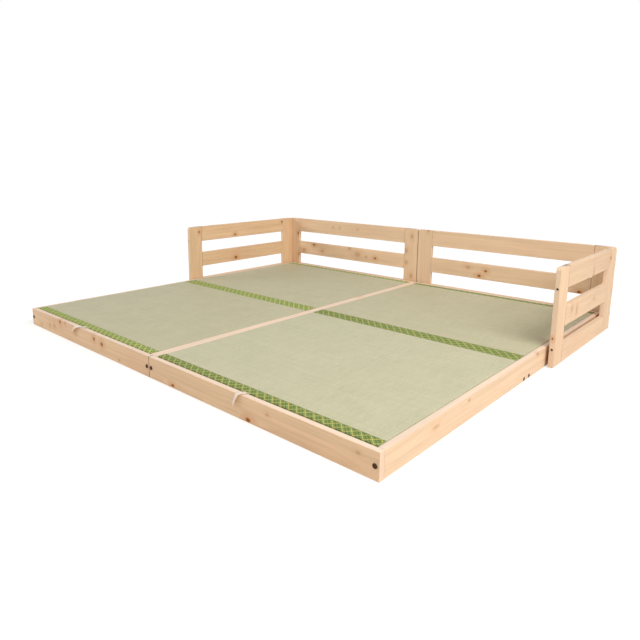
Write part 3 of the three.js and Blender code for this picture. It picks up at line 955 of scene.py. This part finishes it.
class BED_OT_end_boards(bpy.types.Operator):
    """Makes the front and rear board of each bed."""

    bl_idname = "slatted_bed.end_boards"
    bl_label = "Front and rear boards"

    def execute(self, context):
        rear_seats = [seat for seat, way in guard_bolt_places() if way.y > 0]
        for label, side in SIDES.items():
            for place, out in ENDS.items():
                node = f"{label}_{place}_board"
                low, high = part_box(node)
                mouths = [middle_of(f"{label}_{place}_{role}_bolt") for role in ("outer", "inner")]
                finish = plain_pine()
                if place == "front":
                    finish = pine_finish(f"Pine {label} front", front_knots(label))
                else:
                    mouths += [seat for seat in rear_seats if seat.x * side > 0]
                face = facing(node, 1, out)
                timber(eased_board(low, high, 0, BOARD_EASE, BOARD_END_EASE), node + "_timber",
                       0, 1, "frame_pine", finish, node,
                       bits=[bolt_bit((at.x, face, at.z), (0, -out, 0)) for at in mouths],
                       seams=(0, (0.0,), SEAM_REACH))
        return {"FINISHED"}


# How the outer side boards differ from plain pine
SIDE_LOOKS = {"left": {"plain": 0.0}, "right": {"lift": 0.968, "wash": 0.17}}


class BED_OT_side_boards(bpy.types.Operator):
    """Makes the outer and inner side boards, with the ledger strip glued along each."""

    bl_idname = "slatted_bed.side_boards"
    bl_label = "Side boards and ledgers"

    ledger_width: length_property("Ledger width", "How far a ledger stands in from its board", 0.020)
    ledger_height: length_property("Ledger height", "Height of a ledger strip", 0.022)
    ledger_end_gap: length_property("Ledger end gap", "How far a ledger stops short", 0.040)

    def execute(self, context):
        top = facing("left_slat_panel", 2, -1) + STRAP_THICKNESS - FIT_GAP
        for label, role, out, face in side_boards():
            node = f"{label}_{role}_side_board"
            low, high = (v.copy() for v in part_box(node))
            inner = face - out * BOARD_THICKNESS
            low.x, high.x = sorted((face, inner))
            finish = plain_pine()
            if role == "outer":
                # Spots of painted shade round the cross screws' recesses
                recess_shades = [(place, (CROSS_SHADE_RADIUS,) * 3, "recess_shade")
                          for place in cross_screw_places(face)]
                finish = pine_finish(f"Pine {label} side", side_knots(label, face) + recess_shades,
                                     **SIDE_LOOKS[label])
            timber(eased_board(low, high, 1, BOARD_EASE), node + "_timber", 1, 0, "frame_pine",
                   finish, node, bits=self.bits(label, role, out, face))

            near, far = sorted((inner, inner - out * self.ledger_width))
            ledger = eased_board((near, low.y + self.ledger_end_gap, top - self.ledger_height),
                                 (far, high.y - self.ledger_end_gap, top), 1, SLAT_EASE)
            timber(ledger, f"{label}_{role}_ledger", 1, 2, "base_pine", plain_pine(), node)
        return {"FINISHED"}

    def bits(self, label, role, out, face):
        """Bores for frame bolts, barrel nuts, guard or link bolts, and cross board screws."""
        inner = face - out * BOARD_THICKNESS
        bolt = middle_of(f"{label}_front_{role}_bolt")
        bits = []
        for end in ENDS.values():
            y = facing(f"{label}_{role}_side_board", 1, end)
            bits.append(bolt_bit((bolt.x, y, bolt.z), (0, -end, 0), BOLT_REACH))
            nut_y = y - end * (BARREL_DEPTH - BOARD_THICKNESS - FIT_GAP)
            bits.append(drill_bit((inner, nut_y, bolt.z), (out, 0, 0),
                                  BARREL_RADIUS + BORE_CLEARANCE,
                                  abs(bolt.x - inner) + BARREL_LENGTH / 2 + BORE_CLEARANCE))
        if role == "outer":
            mouths = [seat for seat, way in guard_bolt_places() if way.x == out]
        else:
            mouths = [middle_of(node) for node in LINK_BOLTS]
        bits += [bolt_bit((inner, at.y, at.z), (out, 0, 0)) for at in mouths]
        for place in cross_screw_places(face):
            bits += screw_bits(place, (-out, 0, 0), CROSS_HEAD_RADIUS, CROSS_SCREW_SINK,
                               CROSS_SCREW_RADIUS, BOARD_THICKNESS + OVERRUN)
        return bits


class BED_OT_cross_boards(bpy.types.Operator):
    """Makes the cross board at the middle of each bed's length."""

    bl_idname = "slatted_bed.cross_boards"
    bl_label = "Cross boards"

    def execute(self, context):
        for label in SIDES:
            node = f"{label}_cross_board"
            low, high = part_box(node)
            bits = [drill_bit(place, inward, CROSS_SCREW_RADIUS + BORE_CLEARANCE, CROSS_PILOT_DEPTH)
                    for x, inward in ((low.x, X_AXIS), (high.x, -X_AXIS))
                    for place in cross_screw_places(x)]
            timber(eased_board(low, high, 0, SLAT_EASE), node + "_timber", 0, 2, "base_pine",
                   plain_pine(), node, bits=bits)
        return {"FINISHED"}


class BED_OT_slats(bpy.types.Operator):
    """Makes the ten slats of each bed and the two straps that hold them at their pitch."""

    bl_idname = "slatted_bed.slats"
    bl_label = "Slats and straps"

    def execute(self, context):
        webbing = webbing_finish("Strap webbing", STRAP_COLOUR, STRAP_TWILL)
        for label in SIDES:
            node = f"{label}_slat_panel"
            low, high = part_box(node)
            length = high.y - low.y - SLAT_WIDTH
            slats = [f"{label}_slat_{i + 1}" for i in range(SLAT_COUNT)]
            for i, name in enumerate(slats):
                y = low.y + i * length / (SLAT_COUNT - 1)
                bm = eased_board((low.x, y, high.z - SLAT_THICKNESS),
                                 (high.x, y + SLAT_WIDTH, high.z), 0, SLAT_EASE, SLAT_EASE / 2)
                timber(bm, name, 0, 2, "base_pine", plain_pine(), node)
            middle = middle_of(node)
            for number, share in ((1, -0.5), (2, 0.5)):
                bm = unit_grid(2, 90)
                lay_cloth(bm, lambda co: (co.x * STRAP_WIDTH, co.y * length))
                bmesh.ops.scale(bm, vec=(STRAP_WIDTH, length, 1), verts=bm.verts)
                at = (middle.x + share * STRAP_SPACING, middle.y, low.z + STRAP_THICKNESS / 2)
                bmesh.ops.translate(bm, vec=at, verts=bm.verts)
                strap = finish_piece(bm, f"{label}_slat_strap_{number}")
                thicken(strap, STRAP_THICKNESS, 0)
                dress(strap, "frame", "webbing", webbing, node)
        return {"FINISHED"}


# Rush boards

def mats():
    """Each rush board as (bed label, body name)."""
    return [(label, f"{label}_{place}_mat") for label in SIDES for place in ENDS]


class BED_OT_mat_cores(bpy.types.Operator):
    """Gives the core board of each rush board its pressed fibre finish."""

    bl_idname = "slatted_bed.mat_cores"
    bl_label = "Mat cores"

    def execute(self, context):
        finish = fibreboard_finish("Pressed fibre board")
        for _, body in mats():
            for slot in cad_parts[f"{body}_core"].material_slots:
                slot.material = finish
        return {"FINISHED"}


# How much painted warm light each rush board gets, 0 to 1, in place of the near board's painted sheen;
# the rest have 1
RUSH_WARM_LIGHT = {"right_front_mat": 0.0}


class BED_OT_rush_covers(bpy.types.Operator):
    """Makes the woven rush over each core, with its sides rolled down the core's edges."""

    bl_idname = "slatted_bed.rush_covers"
    bl_label = "Rush covers"

    def execute(self, context):
        finish = rush_finish("Woven rush")
        for _, body in mats():
            node = f"{body}_cover"
            low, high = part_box(node)
            bm = block(low, high)
            upper = [e for e in edges_along(bm, 1) if e.verts[0].co.z > high.z - CLOSE]
            bevel_edges(bm, upper, RUSH_ROUND, 4)
            left_open = [f for f in bm.faces
                         if abs(f.normal.y) > ALIGNED or f.normal.z < -ALIGNED]
            bmesh.ops.delete(bm, geom=left_open, context="FACES")
            start, end = low.y + BORDER_REACH, high.y - BORDER_REACH
            for y in (start, start + STEP_RUN, end - STEP_RUN, end):
                slice_at(bm, 1, y)
            for x in (low.x + SIDE_ROLL, high.x - SIDE_ROLL):
                slice_at(bm, 0, x)
            for vert in bm.verts:
                if self.under_border(vert, start, end) and vert.co.z > low.z + SIDE_FOOT:
                    vert.co.z -= BORDER_STEP
            piece = finish_piece(bm, node + "_rush")
            store(piece, "faded", "POINT", [RUSH_WARM_LIGHT.get(body, 1.0)] * len(piece.data.vertices))
            self.thicken_unevenly(piece, low, high, start, end)
            even_shading(piece)
            dress(piece, body, "woven_rush", finish, node)
        return {"FINISHED"}

    def under_border(self, vert, start, end):
        return not start + NEAR < vert.co.y < end - NEAR

    def thicken_unevenly(self, piece, low, high, start, end):
        """Full thickness inside, less down the core's edges and least under the borders."""
        depth = piece.vertex_groups.new(name="rush_depth")
        for vert in piece.data.vertices:
            share = 1.0
            if not low.x + SIDE_ROLL - NEAR < vert.co.x < high.x - SIDE_ROLL + NEAR:
                share = RUSH_EDGE / RUSH_THICKNESS
            if self.under_border(vert, start, end):
                share = min(share, 1 - BORDER_STEP / RUSH_THICKNESS)
            depth.add([vert.index], share, "REPLACE")
        solid = thicken(piece, RUSH_THICKNESS, -1)
        solid.use_even_offset = False
        solid.vertex_group = "rush_depth"


# The left bed's cloth is brightened by a painted sheen; the right bed's is left as it is
BORDER_PAINTED_SHEEN = {"left": 1.36, "right": 1.0}


class BED_OT_borders(bpy.types.Operator):
    """Makes the lattice cloth along the front and rear edge of each rush board."""

    bl_idname = "slatted_bed.borders"
    bl_label = "Cloth borders"

    def execute(self, context):
        for label, body in mats():
            finish = border_finish(f"Lattice border cloth {label}", BORDER_PAINTED_SHEEN[label])
            for place, out in ENDS.items():
                node = f"{body}_{place}_border"
                dress(self.border(node, out), body, "border_cloth", finish, node)
        return {"FINISHED"}

    def border(self, node, out):
        """A strip folded over the board's edge, with its UV in metres from the fold."""
        low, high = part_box(node)
        edge_y = facing(node, 1, out)
        bm = unit_grid(24, 1)
        bmesh.ops.scale(bm, vec=(high.x - low.x, high.y - low.y, 1), verts=bm.verts)
        middle = middle_of(node)
        bmesh.ops.translate(bm, vec=(middle.x, middle.y, high.z), verts=bm.verts)
        down = bmesh.ops.extrude_edge_only(bm, edges=edges_at(bm, 1, edge_y))["geom"]
        moved = [g for g in down if isinstance(g, bmesh.types.BMVert)]
        bmesh.ops.translate(bm, vec=(0, 0, low.z - high.z), verts=moved)
        fold = [e for e in edges_at(bm, 1, edge_y) if e in edges_at(bm, 2, high.z)]
        bevel_edges(bm, fold, BORDER_BEND, 3)
        lay_cloth(bm, lambda co: (co.x - low.x, abs(co.y - edge_y) + co.z - high.z))
        bmesh.ops.recalc_face_normals(bm, faces=bm.faces)
        if sum(f.normal.z for f in bm.faces) < 0:
            bmesh.ops.reverse_faces(bm, faces=bm.faces)
        piece = finish_piece(bm, node + "_cloth")
        thicken(piece, CLOTH_THICKNESS, -1)
        even_shading(piece)
        return piece


TAPE_PATHS = {
    # Each point: x, y, z of the tape's middle, and the turn of its width about its run, in degrees
    "left": [(-0.4950, -0.8866, 0.0690, 0), (-0.4952, -0.8866, 0.0775, 0),
             (-0.4985, -0.8892, 0.0824, 0), (-0.5130, -0.8985, 0.0830, -4),
             (-0.5300, -0.9080, 0.0834, -6), (-0.5470, -0.9135, 0.0800, 6),
             (-0.5600, -0.9160, 0.0720, 20), (-0.5700, -0.9175, 0.0620, 30),
             (-0.5770, -0.9175, 0.0510, 36), (-0.5810, -0.9170, 0.0420, 40)],
    "right": [(0.5020, -0.8866, 0.0690, 0), (0.5018, -0.8866, 0.0775, 0),
              (0.5005, -0.8890, 0.0822, 0), (0.4950, -0.8985, 0.0824, 0),
              (0.4885, -0.9085, 0.0824, 2), (0.4835, -0.9135, 0.0780, 8),
              (0.4785, -0.9155, 0.0690, 16), (0.4725, -0.9165, 0.0560, 24),
              (0.4660, -0.9165, 0.0420, 32)],
}


def smooth_path(points):
    """Points on one smooth curve through the given ones, with their fourth value carried along."""
    ends = [points[0], *points, points[-1]]
    made = []
    for a, b, c, d in zip(ends, ends[1:], ends[2:], ends[3:]):
        for step in range(TAPE_STEPS):
            t = step / TAPE_STEPS
            made.append([0.5 * (2 * q + (r - p) * t + (2 * p - 5 * q + 4 * r - s) * t * t
                                + (3 * q - p - 3 * r + s) * t * t * t)
                         for p, q, r, s in zip(a, b, c, d)])
    made.append(list(points[-1]))
    return made


class BED_OT_pull_tapes(bpy.types.Operator):
    """Makes the webbing tape that lifts each front rush board, hanging over the front board."""

    bl_idname = "slatted_bed.pull_tapes"
    bl_label = "Pull tapes"

    def execute(self, context):
        colour = tuple(context.scene.bed_cloth.tape)
        finish = webbing_finish("Pull tape webbing", colour, TAPE_TWILL)
        for label in SIDES:
            node = f"{label}_pull_tape"
            piece, length = self.tape(node + "_webbing", smooth_path(TAPE_PATHS[label]))
            dress(piece, f"{label}_front_mat", "webbing", finish, node)
        return {"FINISHED"}

    def tape(self, name, path):
        """A strip whose width lies level across its run, turned by each point's own angle."""
        rows = len(path) - 1
        points = [Vector(p[:3]) for p in path]
        runs = [0.0]
        for a, b in zip(points, points[1:]):
            runs.append(runs[-1] + (b - a).length)
        bm = unit_grid(4, rows)
        lay_cloth(bm, lambda co: (co.x * TAPE_WIDTH, runs[round((co.y + 0.5) * rows)]))
        for vert in bm.verts:
            row = round((vert.co.y + 0.5) * rows)
            run = points[min(row + 1, rows)] - points[max(row - 1, 0)]
            level = X_AXIS - X_AXIS.project(run)
            across = Matrix.Rotation(math.radians(path[row][3]), 3, run.normalized()) @ level
            vert.co = points[row] + across.normalized() * (vert.co.x * TAPE_WIDTH)
        piece = finish_piece(bm, name)
        thicken(piece, TAPE_THICKNESS, 0)
        return piece, runs[-1]


# Guards

def guards():
    """Each guard as (name, its posts from low to high, axis along it, outward direction)."""
    return [("left_guard", ("front_post", "rear_post"), 1, -1),
            ("right_guard", ("front_post", "rear_post"), 1, 1),
            ("rear_left_guard", ("outer_post", "inner_post"), 0, 1),
            ("rear_right_guard", ("inner_post", "outer_post"), 0, 1)]


def guard_posts():
    """Each post as (guard, node, axis along the guard, post's outer end, way in, outward)."""
    for name, posts, along, out in guards():
        for post, way in zip(posts, (1, -1)):
            node = f"{name}_{post}"
            yield name, node, along, facing(node, along, -way), way, out


# The face of each guard that the photo shows, and how its wood differs: lift and wash
GUARD_FACES = {"left_guard": CAD_BOX[0].x + POST_THICKNESS, "right_guard": CAD_BOX[1].x}
REAR_GUARD_FACE = CAD_BOX[1].y - POST_THICKNESS
GUARD_LOOKS = {"left_guard": (1.03, 0.0), "right_guard": (0.965, 0.11)}
REAR_GUARD_LOOK = (1.01, 0.20)


def guard_finish(name, part):
    """The pine of a guard's part, with the knots that show on it."""
    face = GUARD_FACES.get(name, REAR_GUARD_FACE)
    seen = {
        ("left_guard", "rails"): [
            knot(face, 0.379, 0.319, 0.0050, 1, 1.2), knot(face, 0.382, 0.172, 0.0080, 1, 1.15),
            knot(face, 0.803, 0.368, 0.0050, 1, 1.2)],
        ("left_guard", "posts"): [
            knot(face, 0.097, 0.358, 0.0045, 2)],
        ("rear_left_guard", "rails"): [
            knot(-0.806, face, 0.219, 0.0050), faint(-0.731, face, 0.185, 0.0075),
            faint(-0.500, face, 0.226, 0.0070), faint(-0.435, face, 0.194, 0.0105, 0, 1.6),
            faint(-0.369, face, 0.185, 0.0055), knot(-0.300, face, 0.185, 0.0050),
            faint(-0.895, face, 0.178, 0.0085), faint(-0.640, face, 0.350, 0.0040, 0, 1.5),
            faint(-0.585, face, 0.352, 0.0035, 0, 1.5), faint(-0.440, face, 0.354, 0.0035, 0, 1.5)],
        ("rear_left_guard", "posts"): [
            knot(-0.951, face, 0.287, 0.0050, 2), faint(-0.947, face, 0.142, 0.0070, 2),
            faint(-0.078, face, 0.257, 0.0085, 2), faint(-0.043, face, 0.344, 0.0070, 2),
            faint(-0.074, face, 0.186, 0.0070, 2), faint(-0.039, face, 0.108, 0.0085, 2)],
        ("rear_right_guard", "rails"): [
            faint(0.318, face, 0.207, 0.0070), knot(0.420, face, 0.198, 0.0050),
            knot(0.385, face, 0.168, 0.0060), knot(0.894, face, 0.158, 0.0060)],
        ("right_guard", "rails"): [
            faint(face, 0.590, 0.318, 0.0060, 2, 3.2), faint(face, 0.345, 0.206, 0.0065, 2, 2.0),
            faint(face, 0.406, 0.190, 0.0075, 2, 2.0), faint(face, 0.634, 0.194, 0.0060, 1)],
        ("right_guard", "posts"): [
            knot(face, 0.832, 0.349, 0.0055, 2), knot(1.0215, 0.1818, 0.118, 0.0030, 2)],
    }.get((name, part), [])
    lift, wash = GUARD_LOOKS.get(name, REAR_GUARD_LOOK)
    return pine_finish(f"Pine {name.replace('_', ' ')} {part}", seen,
                       plain=1.0 if seen else 0.0, lift=lift, wash=wash, pale_edges=0.35)


class BED_OT_guard_posts(bpy.types.Operator):
    """Makes the guards' posts with their rounded outer corner, and the spacer blocks on them."""

    bl_idname = "slatted_bed.guard_posts"
    bl_label = "Guard posts and spacers"

    def execute(self, context):
        for name, node, along, corner, way, out in guard_posts():
            thin = 1 - along
            outer = facing(node, thin, out)
            inner = outer - out * POST_THICKNESS
            low, high = (v.copy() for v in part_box(node))
            low[thin], high[thin] = sorted((outer, inner))
            self.post(node, name, low, high, along, corner, way)
            self.spacer(node, along, inner, facing(node, thin, -out), corner + way * SPACER_INSET, out)
        return {"FINISHED"}

    def post(self, node, name, low, high, along, corner, way):
        thin = 1 - along
        bm = block(low, high)
        rounded = [e for e in edges_along(bm, thin) if e.verts[0].co.z > high.z - CLOSE
                   and abs(e.verts[0].co[along] - corner) < CLOSE]
        bevel_edges(bm, rounded, POST_CORNER, POST_CORNER_STEPS)
        outline = edges_at(bm, thin, low[thin]) + edges_at(bm, thin, high[thin])
        bevel_edges(bm, outline, BOARD_EASE, EASE_STEPS)
        bits = []
        for z in SCREW_HEIGHTS:
            mouth = spot((along, corner), (thin, (low[thin] + high[thin]) / 2), (2, z))
            bits += screw_bits(mouth, spot((along, way)), SCREW_HEAD_RADIUS, SCREW_SINK,
                               SCREW_RADIUS, POST_WIDTH + OVERRUN)
        timber(bm, node + "_timber", 2, thin, "guard_pine", guard_finish(name, "posts"), node,
               bits=bits, seams=(0, (0.0,), POST_SEAM_REACH, POST_SEAM) if thin == 1 else ())

    def spacer(self, node, along, inner, end, centre, out):
        thin = 1 - along
        near, far = sorted((inner, end))
        low = spot((along, centre - SPACER_WIDTH / 2), (thin, near), (2, GUARD_BASE))
        high = spot((along, centre + SPACER_WIDTH / 2), (thin, far), (2, GUARD_BASE + SPACER_HEIGHT))
        bore = bolt_bit(spot((along, centre), (thin, end), (2, GUARD_BOLT_Z)), spot((thin, out)),
                        SPACER_BORE_DEPTH)
        timber(eased_board(low, high, 2, SPACER_EASE), node + "_spacer", 2, thin, "guard_pine",
               plain_pine(), node, bits=[bore])


class BED_OT_guard_rails(bpy.types.Operator):
    """Makes the three rails of each guard."""

    bl_idname = "slatted_bed.guard_rails"
    bl_label = "Guard rails"

    def execute(self, context):
        for name, _, along, _ in guards():
            for rail in ("bottom_rail", "middle_rail", "top_rail"):
                node = f"{name}_{rail}"
                low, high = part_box(node)
                bm = eased_board(low, high, along, BOARD_EASE)
                for end in (low[along] + SEAM_STRIP, high[along] - SEAM_STRIP):
                    slice_at(bm, along, end)
                strength = RIGHT_RAIL_SEAM if name == "right_guard" else RAIL_SEAM
                timber(bm, node + "_timber", along, 1 - along, "guard_pine",
                       guard_finish(name, "rails"), node,
                       seams=(along, (low[along], high[along]), SEAM_REACH, strength))
        return {"FINISHED"}


# Fasteners

def add_bolt(name, place, direction, shank_length, *nodes):
    """A pan-head bolt with a six-sided socket: its seat at place, its head towards direction."""
    r, h = BOLT_HEAD_RADIUS, BOLT_HEAD_HEIGHT
    profile = [(0, -shank_length), (BOLT_RADIUS * 0.72, -shank_length),
               (BOLT_RADIUS, -shank_length + 0.001), (BOLT_RADIUS, 0), (r * 0.93, 0), (r, 0.0003),
               (r * 0.985, h * 0.45), (r * 0.90, h * 0.74), (r * 0.72, h * 0.92), (r * 0.45, h),
               (0, h)]
    top = Vector(place) + Vector(direction) * h
    socket = drill_bit(top, -Vector(direction), BOLT_SOCKET, BOLT_SOCKET_DEPTH, sides=6)
    steelwork(placed(turned(profile), place, direction), name, [socket], bronze(), *nodes)


def add_barrel_nut(name, place, way):
    """A cross-drilled cylinder along X with a driver slot in the end that shows."""
    r, half, chamfer = BARREL_RADIUS, BARREL_LENGTH / 2, NUT_CHAMFER
    bm = turned([(0, -half), (r * 0.9, -half), (r, -half + chamfer), (r, half - chamfer),
                 (r * 0.9, half), (0, half)])
    slot_at = Vector(place) + X_AXIS * (way * half)
    slot = block(slot_at - SLOT_REACH, slot_at + SLOT_REACH)
    bore = drill_bit(Vector(place) - Y_AXIS * THREAD_REACH, Y_AXIS,
                     BOLT_RADIUS + BARREL_THREAD_EASE, 2 * THREAD_REACH)
    steelwork(placed(bm, place, X_AXIS), name, [slot, bore], zinc())


def add_screw(name, place, direction, length, shank, head):
    """A countersunk screw: its head's top at place, its point along direction, a cross recess."""
    profile = [(0, -length), (shank * 0.25, SCREW_TIP - length),
               (shank * 0.8, SCREW_TAPER - length), (shank, -head * 1.1), (head, -0.0004),
               (head * 0.96, 0), (0, 0)]
    place, direction = Vector(place), Vector(direction)
    side = direction.orthogonal().normalized()
    other = direction.cross(side)
    bits = []
    for a, b in ((side, other), (other, side)):
        reach = Vector([abs(direction[i]) * RECESS_DEPTH + abs(a[i]) * head * RECESS_ARM
                        + abs(b[i]) * head * RECESS_WIDTH for i in range(3)])
        bits.append(block(place - reach, place + reach))
    steelwork(placed(turned(profile, 24), place, -direction), name, bits, bronze(),
              crisp=SCREW_CRISP_ANGLE)


class BED_OT_frame_bolts(bpy.types.Operator):
    """Makes the bolts through the end boards and the barrel nuts that they turn into."""

    bl_idname = "slatted_bed.frame_bolts"
    bl_label = "Frame bolts and barrel nuts"

    def execute(self, context):
        for label, side in SIDES.items():
            for place, out in ENDS.items():
                for role, way in (("outer", -side), ("inner", side)):
                    node = f"{label}_{place}_{role}_bolt"
                    x, _, z = middle_of(node)
                    seat = facing(node, 1, out) - out * BOLT_HEAD_HEIGHT
                    shank = abs(seat - facing(node, 1, -out))
                    add_bolt(node + "_steel", (x, seat, z), (0, out, 0), shank, node)
                    add_barrel_nut(f"{label}_{place}_{role}_barrel_nut",
                                   (x, seat - out * (BARREL_DEPTH + FIT_GAP), z), way)
        return {"FINISHED"}


class BED_OT_link_bolts(bpy.types.Operator):
    """Makes the two bolts that hold the beds together, and their nuts."""

    bl_idname = "slatted_bed.link_bolts"
    bl_label = "Link bolts and nuts"

    def execute(self, context):
        face = facing("right_inner_side_board", 0, -1) + BOARD_THICKNESS
        for node in LINK_BOLTS:
            low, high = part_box(node)
            _, y, z = middle_of(node)
            seat = low.x + BOLT_HEAD_HEIGHT
            add_bolt(node + "_steel", (seat, y, z), (-1, 0, 0), high.x - seat, node)
            bm = prism(NUT_RADIUS, NUT_THICKNESS, 6)
            rim = [e for e in bm.edges if abs(e.verts[0].co.z - e.verts[1].co.z) < CLOSE]
            bevel_edges(bm, rim, NUT_CHAMFER, 2)
            placed(bm, (face + FIT_GAP + NUT_THICKNESS / 2, y, z), X_AXIS)
            bore = drill_bit((face, y, z), X_AXIS, BOLT_RADIUS + NUT_THREAD_EASE, THREAD_REACH)
            steelwork(bm, node.replace("bolt", "nut"), [bore], zinc())
        return {"FINISHED"}


class BED_OT_guard_bolts(bpy.types.Operator):
    """Makes the bolts that hold the guards, driven from inside the frames."""

    bl_idname = "slatted_bed.guard_bolts"
    bl_label = "Guard bolts"

    def execute(self, context):
        for number, (seat, way) in enumerate(guard_bolt_places()):
            add_bolt(f"guard_bolt_{number + 1}", seat - way * FIT_GAP, -way, GUARD_BOLT_LENGTH)
        return {"FINISHED"}


class BED_OT_screws(bpy.types.Operator):
    """Makes the screws in the posts' outer edges and those that hold the cross boards."""

    bl_idname = "slatted_bed.screws"
    bl_label = "Guard and cross board screws"

    def execute(self, context):
        for _, node, along, corner, way, out in guard_posts():
            head = corner + way * (SCREW_SINK - SCREW_RISE)
            middle = facing(node, 1 - along, out) - out * POST_THICKNESS / 2
            for number, z in enumerate(SCREW_HEIGHTS):
                add_screw(f"{node}_screw_{number + 1}", spot((along, head), (1 - along, middle), (2, z)),
                          spot((along, way)), POST_WIDTH + SCREW_BITE - SCREW_SINK, SCREW_RADIUS,
                          SCREW_HEAD_RADIUS)
        for label, role, out, face in side_boards():
            for number, place in enumerate(cross_screw_places(face - out * CROSS_HEAD_DEPTH)):
                add_screw(f"{label}_{role}_cross_screw_{number + 1}", place, (-out, 0, 0),
                          CROSS_SCREW_LENGTH, CROSS_SCREW_RADIUS, CROSS_HEAD_RADIUS)
        return {"FINISHED"}


# Studio

CAMERA_PLACE = (1.6965, -1.95007, 0.7578)
CAMERA_TURN = (78.6857, -0.2045, 42.8680)
CAMERA_LENS = 31.590
CAMERA_SHIFT = (0.03359, -0.06797)
NEAR_POWER = 2.6
FLOOR_SIZE = 30
FLOOR_GLOW = 1.16

# Each lamp: its place, the point that it faces, its size and its colour
LAMPS = {
    "Key lamp": ((3.4, -0.9, 3.3), (0.2, -0.1, 0.1), (3.2, 3.2), (1.0, 0.980, 0.955)),
    "Fill lamp": ((-5.2, -4.0, 2.2), (0.0, -0.2, 0.1), (2.0, 1.6), (1.0, 0.97, 0.95)),
    "Near lamp": ((0.9, -0.75, 2.7), (0.8, -0.65, 0.1), (1.0, 1.0), (1.0, 0.99, 0.97)),
}


@kept
def floor_finish(f):
    """Pale floor: nearly white to the camera, with the soft shadow of what stands on it."""
    studio = bpy.context.scene.bed_studio
    f.set("Roughness", 0.9)
    place = f.place()
    cloud = f.noise(place, (1.5, 1.5, 1.5))
    f.set("Base Color", f.shade(tuple(studio.floor), f.span(cloud, 0.2, 0.8, 0.995, 1.0)))
    glow = f.node("ShaderNodeEmission", [("Color", (1, 1, 1)), ("Strength", FLOOR_GLOW)])
    x, y, _ = f.split(place)
    beyond = f.most(f.size(x) - CAD_BOX[1].x, f.size(y) - CAD_BOX[1].y)
    f.show_to_camera(glow.outputs[0], f.shader.outputs[0], f.span(beyond, 0.0, 0.20, 0.58, 0.80))


def area_lamp(name, power, place, target, size, colour):
    lamp = bpy.data.lights.new(name, "AREA")
    lamp.shape = "RECTANGLE"
    lamp.size, lamp.size_y = size
    lamp.energy = power
    lamp.color = colour
    stand = bpy.data.objects.new(name, lamp)
    stand.location = place
    stand.rotation_euler = (Vector(target) - Vector(place)).to_track_quat("-Z", "Y").to_euler()
    bpy.context.scene.collection.objects.link(stand)


class BED_OT_studio(bpy.types.Operator):
    """Sets up the pale floor, the soft lamps and the camera."""

    bl_idname = "slatted_bed.studio"
    bl_label = "Studio"

    def execute(self, context):
        scene = context.scene
        studio = scene.bed_studio
        bm = bmesh.new()
        bmesh.ops.create_grid(bm, x_segments=4, y_segments=4, size=FLOOR_SIZE)
        floor = finish_piece(bm, "studio_floor", smooth=False)
        floor.data.materials.append(floor_finish("Studio floor"))

        powers = (studio.key_power, studio.fill_power, NEAR_POWER)
        for (name, settings), power in zip(LAMPS.items(), powers):
            area_lamp(name, power, *settings)

        scene.world = bpy.data.worlds.new("Studio")
        sky = Nodes(scene.world, "ShaderNodeOutputWorld")
        light, white = (sky.node("ShaderNodeBackground", [("Color", (1, 1, 1)), ("Strength", power)])
                        for power in (studio.fill, 1.0))
        sky.show_to_camera(white.outputs[0], light.outputs[0])

        camera = bpy.data.cameras.new("Camera")
        camera.sensor_width = 36
        camera.lens = CAMERA_LENS
        camera.shift_x, camera.shift_y = CAMERA_SHIFT
        stand = bpy.data.objects.new("Camera", camera)
        stand.location = CAMERA_PLACE
        stand.rotation_euler = [math.radians(a) for a in CAMERA_TURN]
        scene.collection.objects.link(stand)
        scene.camera = stand
        scene.view_settings.view_transform = "Standard"
        return {"FINISHED"}


# Panel and registration

STEPS = (BED_OT_end_boards, BED_OT_side_boards, BED_OT_cross_boards, BED_OT_slats,
         BED_OT_mat_cores, BED_OT_rush_covers, BED_OT_borders, BED_OT_pull_tapes,
         BED_OT_guard_posts, BED_OT_guard_rails, BED_OT_frame_bolts, BED_OT_link_bolts,
         BED_OT_guard_bolts, BED_OT_screws, BED_OT_studio)

SETTINGS = {"bed_pine": PineSettings, "bed_rush": RushSettings, "bed_cloth": ClothSettings,
            "bed_metal": MetalSettings, "bed_studio": StudioSettings}


class BED_PT_steps(bpy.types.Panel):
    """Lists the beds' settings and the steps that make them."""

    bl_label = "Slatted beds"
    bl_idname = "BED_PT_steps"
    bl_space_type = "VIEW_3D"
    bl_region_type = "UI"
    bl_category = "Slatted Beds"

    def draw(self, context):
        layout = self.layout
        for key, group in SETTINGS.items():
            box = layout.box()
            for prop in group.__annotations__:
                box.prop(getattr(context.scene, key), prop)
        column = layout.column(align=True)
        for step in STEPS:
            column.operator(step.bl_idname)


CLASSES = (*SETTINGS.values(), *STEPS, BED_PT_steps)


def register():
    for cls in CLASSES:
        bpy.utils.register_class(cls)
    for key, group in SETTINGS.items():
        setattr(bpy.types.Scene, key, bpy.props.PointerProperty(type=group))


def unregister():
    for key in SETTINGS:
        delattr(bpy.types.Scene, key)
    for cls in reversed(CLASSES):
        bpy.utils.unregister_class(cls)


def main():
    register()
    for step in STEPS:
        group, name = step.bl_idname.split(".")
        getattr(getattr(bpy.ops, group), name)()


if __name__ == "__main__":
    main()
